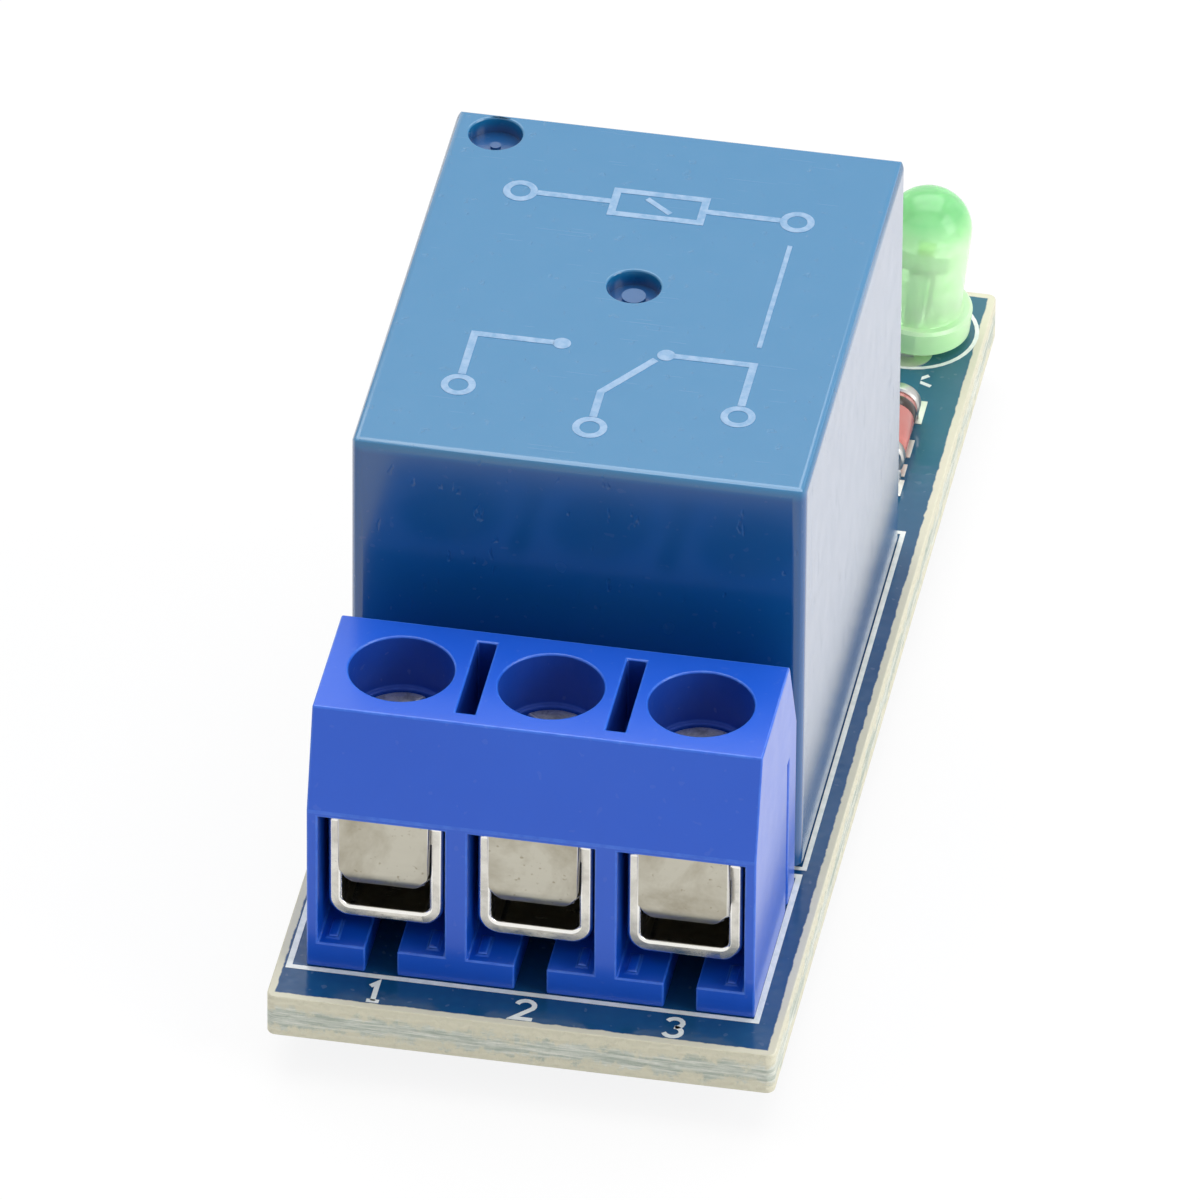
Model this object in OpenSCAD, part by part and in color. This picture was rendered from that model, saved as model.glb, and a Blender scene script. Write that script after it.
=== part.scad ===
// Single-channel relay module: a narrow board that carries a screw terminal block,
// a sealed relay, its small driver parts, a pin header and an indicator.
// X runs across the board and Y along it, with the wire entries at -Y. Z is up.
// The origin lies under the board's centre, on the plane that the lead tips stand on.

/* [Circuit board] */
// Width of the board
board_w = 17; // [17:0.5:22]
// Thickness of the board
board_t = 1.6; // [0.8:0.1:2.4]
// Radius of the board's corners
board_corner_r = 0.3; // [0.2:0.1:1.5]
// Board left free in front of the terminal block
front_margin = 1.85; // [1.5:0.05:6]
// Board left free behind the relay
rear_zone = 14.15; // [14.15:0.1:20]
// How far the leads reach below the board
lead_out = 1.5; // [1.3:0.1:2.5]
// Height of a solder joint under the board
joint_h = 1; // [0.6:0.1:1.2]
// Rim of a solder joint around its hole
joint_rim = 0.35; // [0.15:0.05:0.4]
// Gap between a lead and the wall of its hole
hole_gap = 0.1; // [0.05:0.05:0.2]

/* [Terminal block] */
// Distance between neighbouring poles
pole_pitch = 5; // [4.9:0.02:5.08]
// Depth of the block, front to rear
term_d = 7.5; // [7.4:0.1:8.5]
// Height of the block above the board
term_h = 10; // [9.4:0.1:12]
// Setback of the top's front edge
front_slope_d = 1; // [0.3:0.1:1.2]
// Height at which the front slope starts
front_slope_h = 6.4; // [6.35:0.05:6.8]
// Depth of the slope behind the top
rear_slope_d = 1.45; // [0.6:0.05:1.6]
// Height at which the rear slope starts
rear_slope_h = 6.75; // [6:0.05:8]
// Width of a wire window
window_w = 4.25; // [4.1:0.05:4.4]
// Height of a window's upper edge
window_top = 6.2; // [6.1:0.05:6.3]
// Thickness of the feet that form the floor
foot_t = 1; // [0.6:0.05:1.1]
// Gap between the two feet of a pole
foot_gap = 1.07; // [1:0.05:1.6]
// Thickness of the block's rear wall
term_wall = 0.6; // [0.4:0.05:0.65]
// Radius of the screwdriver guide in the top
guide_r = 1.75; // [1.75:0.05:2]
// Width of the relief slot between two guides
relief_w = 0.65; // [0.3:0.05:0.7]
// Length of the relief slot
relief_l = 3.9; // [2:0.1:4.4]
// Depth of the relief slot
relief_depth = 2.6; // [0.5:0.1:2.6]

/* [Clamps] */
// Height of the contact's underside above the board
contact_h = 3.15; // [3.1:0.05:3.2]
// Thickness of the contact strip
contact_t = 0.4; // [0.3:0.05:0.45]
// Width of the plate that closes the front of the clamp
plate_w = 3.05; // [2.9:0.05:3.6]
// Width of the strip inside the cage
strip_w = 2.6; // [2:0.1:2.7]
// Width of the board pin
pin_w = 0.9; // [0.6:0.05:0.9]
// Clear height of the wire opening at rest
wire_gap = 1.05; // [1.02:0.01:1.1]
// Free height between the strip and the cage's roof when the clamp is fully open
roof_clear = 0.85; // [0.7:0.05:0.9]
// Width of the cage
cage_w = 3.85; // [3.8:0.05:4]
// Side wall of the cage
cage_side = 0.47; // [0.3:0.01:0.5]
// Floor of the cage
cage_floor = 0.5; // [0.3:0.05:0.5]
// Threaded roof of the cage
cage_roof = 0.75; // [0.6:0.05:0.8]
// Outer radius of the cage's lower corners
cage_r = 0.75; // [0.5:0.05:0.9]
// Rise of the cage for each turn of its screw
thread_pitch = 0.45; // [0.35:0.05:0.45]
// Turns from rest until the clamp is shut
turns_up = 2.2; // [1.5:0.1:2.2]
// Turns from rest until the clamp is fully open
turns_down = 1; // [0.2:0.1:1]
// Radius of the clamp screw's shank
screw_r = 1.2; // [0.9:0.05:1.2]
// Radius of the clamp screw's head
head_r = 1.5; // [1.4:0.05:1.6]
// Height of the clamp screw's head
head_t = 0.9; // [0.7:0.05:1.1]
// Width of the screwdriver slot
slot_w = 0.6; // [0.4:0.05:0.8]
// Depth of the screwdriver slot
slot_depth = 0.5; // [0.3:0.05:0.6]

/* [Relay] */
// Width of the relay's cover
relay_w = 15.2; // [14.8:0.1:16.4]
// Length of the relay's cover
relay_l = 19; // [18.8:0.1:20.5]
// Height of the relay's cover
relay_h = 15.5; // [15.3:0.1:17]
// Gap between the terminal block and the relay
relay_gap = 0.5; // [0.3:0.05:2]
// Wall of the cover
cover_wall = 0.8; // [0.6:0.05:0.9]
// Top of the cover
cover_top = 1; // [0.8:0.05:1.1]
// Gap under the cover's rim
cover_lift = 0.2; // [0.1:0.05:0.3]
// Radius of the cover's upright edges
cover_edge_r = 0.45; // [0.2:0.05:0.7]
// Radius of the cover's top edges
cover_top_r = 0.3; // [0.1:0.05:0.5]
// Radius of the two moulding recesses in the cover's top
recess_r = 0.9; // [0.5:0.05:1.1]
// Depth of those recesses
recess_depth = 0.6; // [0.2:0.05:0.65]
// Thickness of the relay's base plate
base_t = 1.4; // [1:0.1:1.5]
// Height of the feet under the base plate
base_foot = 0.4; // [0.35:0.05:0.5]
// Distance between the two contact pins, and between the two coil pins
relay_pin_span = 12.1; // [11.8:0.05:12.2]

/* [Relay magnet and contacts] */
// Thickness of the yoke
yoke_t = 1.4; // [1:0.1:1.5]
// Width of the yoke
yoke_w = 8; // [6:0.5:8.5]
// Air left between the upper contact strip and the cover
ceiling_gap = 0.35; // [0.3:0.05:0.6]
// Thickness of a bobbin flange
flange_t = 0.85; // [0.5:0.05:1]
// Radius of the iron core
core_r = 2.5; // [2:0.1:2.6]
// Wall of the bobbin's tube
tube_wall = 0.65; // [0.5:0.05:0.9]
// Outer radius of the winding
winding_r = 5; // [4:0.1:5.1]
// Radius of the core's pole head
pole_r = 3.5; // [3:0.1:4]
// Height of the core's pole head
pole_t = 0.6; // [0.4:0.05:0.7]
// Thickness of the armature
armature_t = 1.2; // [0.9:0.05:1.3]
// Angle that the armature stands open, in degrees
open_angle = 4; // [3:0.1:4.3]
// Thickness of the contact spring
spring_t = 0.2; // [0.15:0.01:0.25]
// Width of the contact spring
spring_w = 5; // [3.5:0.1:6]
// Radius of a contact button
button_r = 1.2; // [0.8:0.05:1.3]
// Height of a contact button
button_t = 0.4; // [0.3:0.05:0.45]
// Thickness of the fixed contact strips
leaf_t = 0.45; // [0.3:0.05:0.5]
// Width of the fixed contact strips
leaf_w = 2.4; // [2:0.1:2.5]

/* [Indicator] */
// Radius of the lamp's body
lens_r = 1.5; // [1.5:0.05:1.6]
// Radius of the lamp's flange
flange_r = 1.9; // [1.8:0.02:1.94]
// Height of the lamp's flange
flange_h = 1; // [0.7:0.1:1.2]
// Height of the lamp from flange to tip
lens_h = 5.6; // [5:0.1:6.5]
// Sideways lean of the lamp, in degrees
lens_lean = 6; // [0:0.5:8]
// Gap between the lamp and the board
lens_lift = 0.3; // [0.3:0.05:1]
// Distance from the lamp's axis to the board's right edge
lamp_edge_x = 2.42; // [2.3:0.02:2.6]
// Distance from the lamp's axis to the board's rear edge
lamp_edge_y = 2.6; // [2.3:0.05:2.7]

/* [Small parts] */
// Radius of the diode's end caps
diode_r = 0.75; // [0.6:0.05:0.85]
// Length of the diode
diode_l = 3.5; // [3.2:0.1:3.7]
// Distance from the diode's axis to the board's right edge
diode_edge_x = 2.06; // [1.9:0.02:2.4]
// Distance from the relay to the diode
diode_back = 3.1; // [2.6:0.05:3.3]
// Pitch of the header's pins
header_pitch = 2.54; // [2.5:0.01:2.54]
// Height of the header's plastic strip
header_strip_h = 2.5; // [2:0.1:3]
// Height of the header's pins above the board
header_pin_h = 8.5; // [6:0.5:12]
// Side of a square header pin
header_pin_w = 0.64; // [0.5:0.02:0.66]
// Distance from the header's row to the board's rear edge
header_edge_y = 5.5; // [4.5:0.1:5.9]

/* [Hidden] */

$fn = 48;
over = 1;          // how far a cut runs past the face it opens
slide_gap = 0.05;  // between flat faces that pass each other
turn_gap = 0.08;   // between a turning screw and the wall around it
snug = 0.02;       // between pieces pressed or bonded together

// Circuit board
board_l = front_margin + term_d + relay_gap + relay_l + rear_zone;
board_top = lead_out + board_t;
lead_end = -(board_t + lead_out);   // lead tips, seen from the board's top
term_y = -board_l / 2 + front_margin;
relay_y = term_y + term_d + relay_gap;
relay_rear_y = relay_y + relay_l;
board_rear_y = board_l / 2;
board_right_x = board_w / 2;

// Terminal block, measured from its front face and the board's top
poles = [-1, 0, 1];
screw_d = (front_slope_d + term_d - rear_slope_d) / 2;
plate_d = 0.35;
cage_d = plate_d + contact_t + slide_gap;
cage_l = 2 * (screw_d - cage_d);
chamber_rear = term_d - term_wall;
leg_d = chamber_rear - slide_gap - contact_t;
contact_top = contact_h + contact_t;
plate_top = window_top - slide_gap;
cage_rise = thread_pitch * turns_up;
cage_drop = thread_pitch * turns_down;
cage_floor_z = contact_h - wire_gap;
cage_roof_z = contact_top + cage_drop + slide_gap + roof_clear;
cage_top = cage_roof_z + cage_roof;
chamber_top = cage_top + cage_rise + slide_gap;
ledge_t = 0.35;
seat_z = chamber_top + ledge_t;
head_top = seat_z + head_t;
head_bore_r = head_r + turn_gap;
pin_hole_r = norm([pin_w, contact_t]) / 2 + hole_gap;
foot_peg = [0.35, 1, 0.1];          // small pegs on the feet that guide the cage
peg_inset = 0.45;
key_d = 6;                          // upright key and groove that join two blocks
key_w = 0.36;
key_proud = 0.2;
key_h = 6.1;
slot_turns = [55, -35, 20];

// Relay, measured from its front face and the board's top
inner_w = relay_w - 2 * cover_wall;
inner_rear = relay_l - cover_wall;
ceiling_z = cover_lift + relay_h - cover_top;
corner_recess = [-relay_w / 2 + 1.5, relay_l - 1.2];
centre_recess = [0, relay_l / 2 + 0.7];
base_w = inner_w - 2 * slide_gap;
base_l = relay_l - 2 * cover_wall - 2 * slide_gap;
base_top = base_foot + base_t;
pin_x = relay_pin_span / 2;
leaf_pin_d = 3.5;
leaf_pin_w = 1;
leaf_d = leaf_pin_d - 0.5 - leaf_w / 2;
leaf_hole_r = norm([leaf_pin_w, leaf_t]) / 2 + hole_gap;
common_t = 0.5;
common_w = 3.2;
rivet_head = 0.25;
rear_air = 0.1;
yoke_rear_d = inner_rear - rear_air - rivet_head - common_t - spring_t - 2 * snug;
yoke_front_d = yoke_rear_d - yoke_t;
axis_d = yoke_rear_d - armature_t / 2;
contact_d = leaf_pin_d - 0.5;
contact_reach = axis_d - contact_d;
bobbin_w = 11;
bobbin_l = 10.4;
coil_d = yoke_front_d - 0.1 - bobbin_l / 2;
tube_r = core_r + snug + tube_wall;
spigot_r = 1.75;
coil_pin_r = 0.32;
coil_pin_d = yoke_front_d + 0.05;
coil_hole_r = coil_pin_r + hole_gap;
ear_w = 1.9;
common_d = yoke_rear_d + spring_t + 2 * snug + common_t / 2;
common_hole_r = norm([leaf_pin_w, common_t]) / 2 + hole_gap;
rivet_r = 0.8;
rivet_z = base_top + 4.7;           // rivet that holds the spring on the yoke
spring_low_z = rivet_z - 1.5;

// Armature, measured from the axis of its rounded rear end. The heights run down from the
// cover's ceiling: upper contact, armature, yoke and core, bobbin
armature_w = 9;
armature_l = axis_d - coil_d + pole_r + 0.6;
spring_in_r = armature_t / 2 + snug;
spring_out_r = spring_in_r + spring_t;
spring_l = contact_reach + 0.75;
button_low = spring_in_r - button_t;
button_high = spring_out_r + button_t;
touch = 0.03;                       // air left where two contacts meet
closed_button_z = ceiling_z - ceiling_gap - leaf_t - button_t;
axis_z = closed_button_z - touch - contact_reach * sin(open_angle)
  - button_high * cos(open_angle) - button_r * sin(open_angle);
open_button_z = axis_z + button_low - touch;
yoke_top = axis_z - armature_t / 2 - snug;
pole_z = yoke_top - snug - pole_t;
yoke_z = base_top;
bobbin_z = yoke_z + yoke_t;
bobbin_h = pole_z - bobbin_z;
stem_r = 0.6;                       // rivets that hold the spring on the armature
stem_head_r = 1;
stems = [armature_l * 0.33, armature_l * 0.62];

// Indicator
lamp_x = board_right_x - lamp_edge_x;
lamp_y = board_rear_y - lamp_edge_y;
lamp_lead_w = 0.5;
lamp_lead_y = 1.27;
lamp_hole_r = lamp_lead_w * sqrt(2) / 2 + hole_gap;
post_y = 0.5;
bridge_z = 0.45;
post_top = 2.6;
cup_h = 0.7;
cup_w = 1.1;
chip_w = 0.3;
chip_h = 0.12;

// Small parts
diode_x = board_right_x - diode_edge_x;
diode_y = relay_rear_y + diode_back;
cap_l = 0.45;
transistor_at = [-3.4, relay_rear_y + 3.6];
transistor_size = [2.9, 1.3, 1];
transistor_lift = 0.1;
sot_lead_w = 0.4;
sot_lead_t = 0.12;
sot_reach = 0.55;
resistor_size = [1.25, 2, 0.5];
base_resistor_at = [0.6, relay_rear_y + 3.6];
lamp_resistor_at = [lamp_x - 3.3, lamp_y + 0.1];
header_x = -2.6;
header_y = board_rear_y - header_edge_y;
header_pins = [-1, 0, 1];
header_hole_r = header_pin_w * sqrt(2) / 2 + hole_gap;
fillet_h = 0.45;

// Every lead hole in the board: x, y and radius
lead_holes = concat(
  [for (i = poles) [i * pole_pitch, term_y + leg_d + contact_t / 2, pin_hole_r]],
  [for (s = [-1, 1]) [s * pin_x, relay_y + leaf_pin_d, leaf_hole_r]],
  [for (s = [-1, 1]) [s * pin_x, relay_y + coil_pin_d, coil_hole_r]],
  [[0, relay_y + common_d, common_hole_r]],
  [for (s = [-1, 1]) [lamp_x, lamp_y + s * lamp_lead_y, lamp_hole_r]],
  [for (i = header_pins) [header_x + i * header_pitch, header_y, header_hole_r]]
);

// Shared shapes

module rounded_rect(w, l, r) {
  square([w - 2 * r, l], center = true);
  square([w, l - 2 * r], center = true);
  for (x = [-1, 1], y = [-1, 1]) translate([x * (w / 2 - r), y * (l / 2 - r)]) circle(r);
}

// Extrudes an outline drawn in depth and height across the board
module across(w) {
  rotate([90, 0, 90]) linear_extrude(w, center = true) children();
}

// Extrudes an outline drawn in width and height along the board, from depth d
module along(d, l) {
  translate([0, d + l, 0]) rotate([90, 0, 0]) linear_extrude(l) children();
}

// A block centred in x, from depth d and height z
module block(w, d, z, size_d, size_z) {
  translate([-w / 2, d, z]) cube([w, size_d, size_z]);
}

// A quarter of a bent sheet: inner radius r, thickness t, in the -X -Y quadrant
module bend(r, t) {
  intersection() {
    difference() {
      circle(r + t);
      circle(r);
    }
    translate([-r - t, -r - t]) square(r + t);
  }
}

module at_terminal() {
  translate([0, term_y, board_top]) children();
}

module at_pole(i) {
  at_terminal() translate([i * pole_pitch, 0, 0]) children();
}

module at_relay() {
  translate([0, relay_y, board_top]) children();
}

module at_lamp() {
  translate([lamp_x, lamp_y, board_top + lens_lift]) children();
}

// Turns armature pieces about the axis; they are drawn flat, with depth -reach forward
module at_armature() {
  at_relay() translate([0, axis_d, axis_z]) rotate([-open_angle, 0, 0]) children();
}

// A cone of solder under the board round a lead, which is given as the child
module solder_joint(p) {
  difference() {
    translate([p[0], p[1], lead_out - joint_h])
      cylinder(r1 = p[2] - hole_gap + 0.06, r2 = p[2] + joint_rim, h = joint_h);
    children();
  }
}

// Circuit board

module circuit_board() {
  color("midnightblue")
  difference() {
    translate([0, 0, lead_out]) linear_extrude(board_t)
      rounded_rect(board_w, board_l, board_corner_r);
    for (p = lead_holes) translate([p[0], p[1], lead_out - over])
      cylinder(r = p[2], h = board_t + 2 * over);
  }
}

// Terminal block

module housing_outline() {
  polygon([
    [0, 0], [0, front_slope_h], [front_slope_d, term_h], [term_d - rear_slope_d, term_h],
    [term_d, rear_slope_h], [term_d, 0]
  ]);
}

module pole_chamber() {
  block(window_w, -over, foot_t, over + chamber_rear, window_top - foot_t);
  block(window_w, cage_d - slide_gap, window_top - over, chamber_rear - cage_d + slide_gap,
    chamber_top - window_top + over);
  block(foot_gap, -over, -over, over + chamber_rear, foot_t + 2 * over);
}

module screw_guide() {
  translate([0, screw_d, chamber_top - over]) cylinder(r = screw_r + turn_gap + 0.05, h = over + ledge_t + over);
  translate([0, screw_d, seat_z]) cylinder(r = head_bore_r, h = head_t + over);
  translate([0, screw_d, head_top + slide_gap]) cylinder(r = guide_r, h = term_h - head_top + over);
}

module terminal_housing() {
  block_w = 3 * pole_pitch;
  color("royalblue") at_terminal() {
    difference() {
      across(block_w) housing_outline();
      for (i = poles) translate([i * pole_pitch, 0, 0]) {
        pole_chamber();
        screw_guide();
      }
      for (s = [-0.5, 0.5]) translate([s * pole_pitch, 0, 0])
        block(relief_w, screw_d - relief_l / 2, term_h - relief_depth, relief_l, relief_depth + over);
      translate([block_w / 2 - key_proud, key_d - key_w / 2, -over])
        cube([key_proud + over, key_w, over + key_h]);
    }
    translate([-block_w / 2 - key_proud + slide_gap, key_d - key_w / 2 + slide_gap, 0])
      cube([key_proud, key_w - 2 * slide_gap, key_h - slide_gap]);
    for (i = poles, s = [-1, 1])
      translate([i * pole_pitch + s * (window_w / 2 - peg_inset), 0, foot_t - slide_gap])
        block(foot_peg[0], plate_d, 0, foot_peg[1], slide_gap + foot_peg[2]);
  }
}

module clamp_screw(n) {
  color("silver") at_pole(poles[n]) translate([0, screw_d, 0]) {
    difference() {
      translate([0, 0, seat_z]) cylinder(r = head_r, h = head_t);
      rotate(slot_turns[n]) translate([-head_r - over, -slot_w / 2, head_top - slot_depth])
        cube([2 * (head_r + over), slot_w, slot_depth + over]);
    }
    translate([0, 0, contact_top]) cylinder(r = screw_r, h = seat_z - contact_top + slide_gap);
  }
}

// The cage's outline with rounded lower corners, w wide, from height low to high
module cage_outline(w, low, high, r) {
  translate([-w / 2, low + r]) square([w, high - low - r]);
  translate([-w / 2 + r, low]) square([w - 2 * r, high - low]);
  for (s = [-1, 1]) translate([s * (w / 2 - r), low + r]) circle(r);
}

module clamp_cage(i) {
  color("gainsboro") at_pole(i) difference() {
    along(cage_d, cage_l) difference() {
      cage_outline(cage_w, cage_floor_z - cage_floor, cage_top, cage_r);
      cage_outline(cage_w - 2 * cage_side, cage_floor_z, cage_roof_z, cage_r - cage_side);
    }
    translate([0, screw_d, cage_roof_z - over / 2])
      cylinder(r = screw_r + turn_gap, h = cage_roof + over);
  }
}

// The front plate, with its lower corners cut off
module plate_outline() {
  cut = 0.38;
  polygon([
    [-plate_w / 2, plate_top], [-plate_w / 2, contact_h + cut], [-plate_w / 2 + cut, contact_h],
    [plate_w / 2 - cut, contact_h], [plate_w / 2, contact_h + cut], [plate_w / 2, plate_top]
  ]);
}

module terminal_contact(i) {
  bend_r = 0.15;
  bend_out = bend_r + contact_t;
  run_d = plate_d + bend_out;
  color("darkkhaki") at_pole(i) {
    difference() {
      along(plate_d, contact_t) plate_outline();
      block(plate_w + over, plate_d - over, contact_h - over, contact_t + 2 * over, over + bend_out);
    }
    intersection() {
      across(plate_w) translate([run_d, contact_h + bend_out]) bend(bend_r, contact_t);
      along(plate_d - over, term_d) plate_outline();
    }
    block(strip_w, run_d, contact_h, leg_d + contact_t - run_d, contact_t);
    block(strip_w, leg_d, foot_t, contact_t, contact_h - foot_t);
    terminal_pin();
  }
}

module terminal_pin() {
  block(pin_w, leg_d, lead_end, contact_t, foot_t - lead_end);
}

module terminal_solder() {
  color("silver") for (k = [0 : len(poles) - 1])
    solder_joint(lead_holes[k]) at_pole(poles[k]) terminal_pin();
}

// Relay

// The cover's outer block, with rounded upright and top edges
module cover_block() {
  intersection() {
    linear_extrude(relay_h) rounded_rect(relay_w, relay_l, cover_edge_r);
    translate([0, -relay_l / 2, 0]) along(0, relay_l) round_top(relay_w);
    across(relay_w) round_top(relay_l);
  }
}

module round_top(w) {
  r = cover_top_r;
  translate([-w / 2, 0]) square([w, relay_h - r]);
  translate([-w / 2 + r, 0]) square([w - 2 * r, relay_h]);
  for (s = [-1, 1]) translate([s * (w / 2 - r), relay_h - r]) circle(r);
}

module relay_cover() {
  top_z = cover_lift + relay_h;
  floor_z = top_z - recess_depth;
  color("steelblue") at_relay() {
    difference() {
      translate([0, relay_l / 2, cover_lift]) cover_block();
      block(inner_w, cover_wall, cover_lift - over, relay_l - 2 * cover_wall, relay_h - cover_top + over);
      for (p = [corner_recess, centre_recess]) translate([p[0], p[1], floor_z])
        cylinder(r = recess_r, h = recess_depth + over);
    }
    // what the moulding gate left in each recess
    translate([corner_recess[0], corner_recess[1], floor_z - slide_gap])
      cylinder(r = recess_r * 0.2, h = slide_gap + recess_depth * 0.2);
    translate([centre_recess[0], centre_recess[1], floor_z - slide_gap])
      cylinder(r = recess_r * 0.45, h = slide_gap + recess_depth * 0.35);
  }
}

// Every hole for a relay pin, wide by the gap g
module relay_pin_holes(z, h, g) {
  for (s = [-1, 1]) {
    translate([s * pin_x, 0, 0])
      block(leaf_t + 2 * g, leaf_pin_d - leaf_pin_w / 2 - g, z, leaf_pin_w + 2 * g, h);
    translate([s * pin_x, coil_pin_d, z]) cylinder(r = coil_pin_r + g, h = h);
  }
  block(leaf_pin_w + 2 * g, common_d - common_t / 2 - g, z, common_t + 2 * g, h);
}

module base_feet(g) {
  foot_w = 1.2;
  for (x = [-1, 1], y = [0, 1])
    translate([
      x * (base_w / 2 - foot_w / 2),
      cover_wall + slide_gap + y * (base_l - foot_w),
      0
    ]) block(foot_w + 2 * g, -g, 0, foot_w + 2 * g, base_foot);
}

module relay_base() {
  color("dimgray") at_relay() {
    difference() {
      block(base_w, cover_wall + slide_gap, base_foot, base_l, base_t);
      relay_pin_holes(base_foot - over, base_t + 2 * over, snug);
    }
    base_feet(0);
  }
}

module base_seal() {
  color("ivory") at_relay() difference() {
    block(inner_w, cover_wall, cover_lift, relay_l - 2 * cover_wall, base_foot - cover_lift);
    relay_pin_holes(cover_lift - over, base_foot + 2 * over, snug);
    base_feet(snug);
  }
}

// The bobbin's ears, which hold the coil pins beside the yoke
module bobbin_ears() {
  for (s = [-1, 1]) translate([s * (pin_x - 0.35), 0, 0])
    block(ear_w, coil_pin_d - 1.4, bobbin_z, 2.1, flange_t);
}

module coil_bobbin() {
  color("whitesmoke") at_relay() difference() {
    union() {
      translate([0, coil_d, bobbin_z]) cylinder(r = tube_r, h = bobbin_h);
      for (z = [bobbin_z, pole_z - flange_t])
        translate([0, coil_d, z]) linear_extrude(flange_t) rounded_rect(bobbin_w, bobbin_l, 0.8);
      bobbin_ears();
    }
    translate([0, coil_d, bobbin_z - over]) cylinder(r = core_r + snug, h = bobbin_h + 2 * over);
    for (s = [-1, 1]) translate([s * pin_x, coil_pin_d, bobbin_z - over])
      cylinder(r = coil_pin_r + snug, h = flange_t + 2 * over);
  }
}

module coil_winding() {
  color("darkred") at_relay() translate([0, coil_d, bobbin_z + flange_t])
    difference() {
      cylinder(r = winding_r, h = bobbin_h - 2 * flange_t);
      translate([0, 0, -over]) cylinder(r = tube_r + snug, h = bobbin_h + over);
    }
}

module coil_core() {
  color("slategray") at_relay() translate([0, coil_d, 0]) {
    translate([0, 0, yoke_z]) cylinder(r = spigot_r, h = yoke_t + over / 2);
    translate([0, 0, bobbin_z]) cylinder(r = core_r, h = bobbin_h);
    translate([0, 0, pole_z]) cylinder(r = pole_r, h = pole_t);
  }
}

module coil_pin_shape(s) {
  at_relay() translate([s * pin_x, coil_pin_d, lead_end])
    cylinder(r = coil_pin_r, h = bobbin_z + flange_t + 0.6 - lead_end);
}

module coil_pin(s) {
  color("silver") coil_pin_shape(s);
}

module magnet_yoke() {
  color("slategray") at_relay() difference() {
    union() {
      block(yoke_w, coil_d - core_r - 1.1, yoke_z, yoke_rear_d - coil_d + core_r + 1.1, yoke_t);
      block(yoke_w, yoke_front_d, yoke_z, yoke_t, yoke_top - yoke_z);
    }
    translate([0, coil_d, yoke_z - over]) cylinder(r = spigot_r + snug, h = yoke_t + 2 * over);
    rivet_hole();
  }
}

module rivet_hole() {
  translate([0, yoke_front_d - over, rivet_z]) rotate([-90, 0, 0])
    cylinder(r = rivet_r + snug, h = inner_rear - yoke_front_d + over);
}

module yoke_rivet() {
  head_d = common_d + common_t / 2;
  color("silver") at_relay() translate([0, 0, rivet_z]) rotate([-90, 0, 0]) {
    translate([0, 0, yoke_front_d]) cylinder(r = rivet_r, h = head_d - yoke_front_d + snug);
    translate([0, 0, head_d]) cylinder(r = rivet_r + 0.5, h = rivet_head);
  }
}

module common_pin() {
  block(leaf_pin_w, common_d - common_t / 2, lead_end, common_t, base_top - lead_end);
}

module common_strip() {
  color("peru") at_relay() {
    difference() {
      block(common_w, common_d - common_t / 2, base_top, common_t, rivet_z + 1.6 - base_top);
      rivet_hole();
    }
    common_pin();
  }
}

// Armature, drawn flat and turned open

module armature_outline() {
  translate([-armature_l, -armature_t / 2]) square([armature_l, armature_t]);
  circle(armature_t / 2);
}

module stem_row(r) {
  for (d = stems) translate([0, -d, -armature_t / 2])
    cylinder(r = r, h = armature_t + spring_t + 2 * snug);
}

module armature() {
  color("slategray") at_armature() difference() {
    across(armature_w) armature_outline();
    translate([0, 0, -snug]) stem_row(stem_r + snug);
  }
}

module armature_rivets() {
  color("silver") at_armature() {
    stem_row(stem_r);
    for (d = stems) translate([0, -d, spring_out_r + snug]) cylinder(r = stem_head_r, h = rivet_head);
  }
}

module spring_flat_outline() {
  translate([-spring_l, spring_in_r]) square([spring_l, spring_t]);
}

// The bend round the armature's rear end; it opens by the armature's angle
module spring_bend_outline() {
  reach = 2 * spring_out_r;
  intersection() {
    difference() {
      circle(spring_out_r);
      circle(spring_in_r);
    }
    polygon([[0, 0], [reach, 0], [reach, reach], [reach * sin(open_angle), reach * cos(open_angle)]]);
  }
}

module contact_spring() {
  fall = axis_z - spring_low_z;
  color("gold") difference() {
    at_relay() translate([0, axis_d, axis_z]) across(spring_w) {
      rotate(-open_angle) spring_flat_outline();
      spring_bend_outline();
      translate([spring_in_r, -fall]) square([spring_t, fall]);
    }
    at_relay() rivet_hole();
    at_armature() {
      stem_row(stem_r + snug);
      translate([0, -contact_reach, 0]) cylinder(r = button_r / 2 + snug, h = 3 * spring_out_r);
    }
  }
}

module moving_contact() {
  color("lightgray") at_armature() translate([0, -contact_reach, 0]) {
    translate([0, 0, button_low]) cylinder(r = button_r, h = button_t);
    translate([0, 0, button_low]) cylinder(r = button_r / 2, h = button_high - button_low);
    translate([0, 0, spring_out_r]) cylinder(r = button_r, h = button_t);
  }
}

// A fixed contact: a pin, an upright leaf on side s and an arm at height arm_z
module fixed_contact(s, arm_z) {
  arm_reach = pin_x + leaf_t / 2 + button_r + 0.2;
  translate([s * pin_x, 0, 0]) block(leaf_t, leaf_d, base_top, leaf_w, arm_z + leaf_t - base_top);
  translate([s * (pin_x + leaf_t / 2 - arm_reach / 2), 0, 0]) block(arm_reach, leaf_d, arm_z, leaf_w, leaf_t);
  fixed_pin(s);
}

module fixed_pin(s) {
  translate([s * pin_x, 0, 0])
    block(leaf_t, leaf_pin_d - leaf_pin_w / 2, lead_end, leaf_pin_w, base_top - lead_end);
}

module button(z) {
  translate([0, contact_d, z]) cylinder(r = button_r, h = button_t);
}

module open_contact_strip() {
  color("peru") at_relay() fixed_contact(-1, open_button_z - button_t - leaf_t);
}

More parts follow.
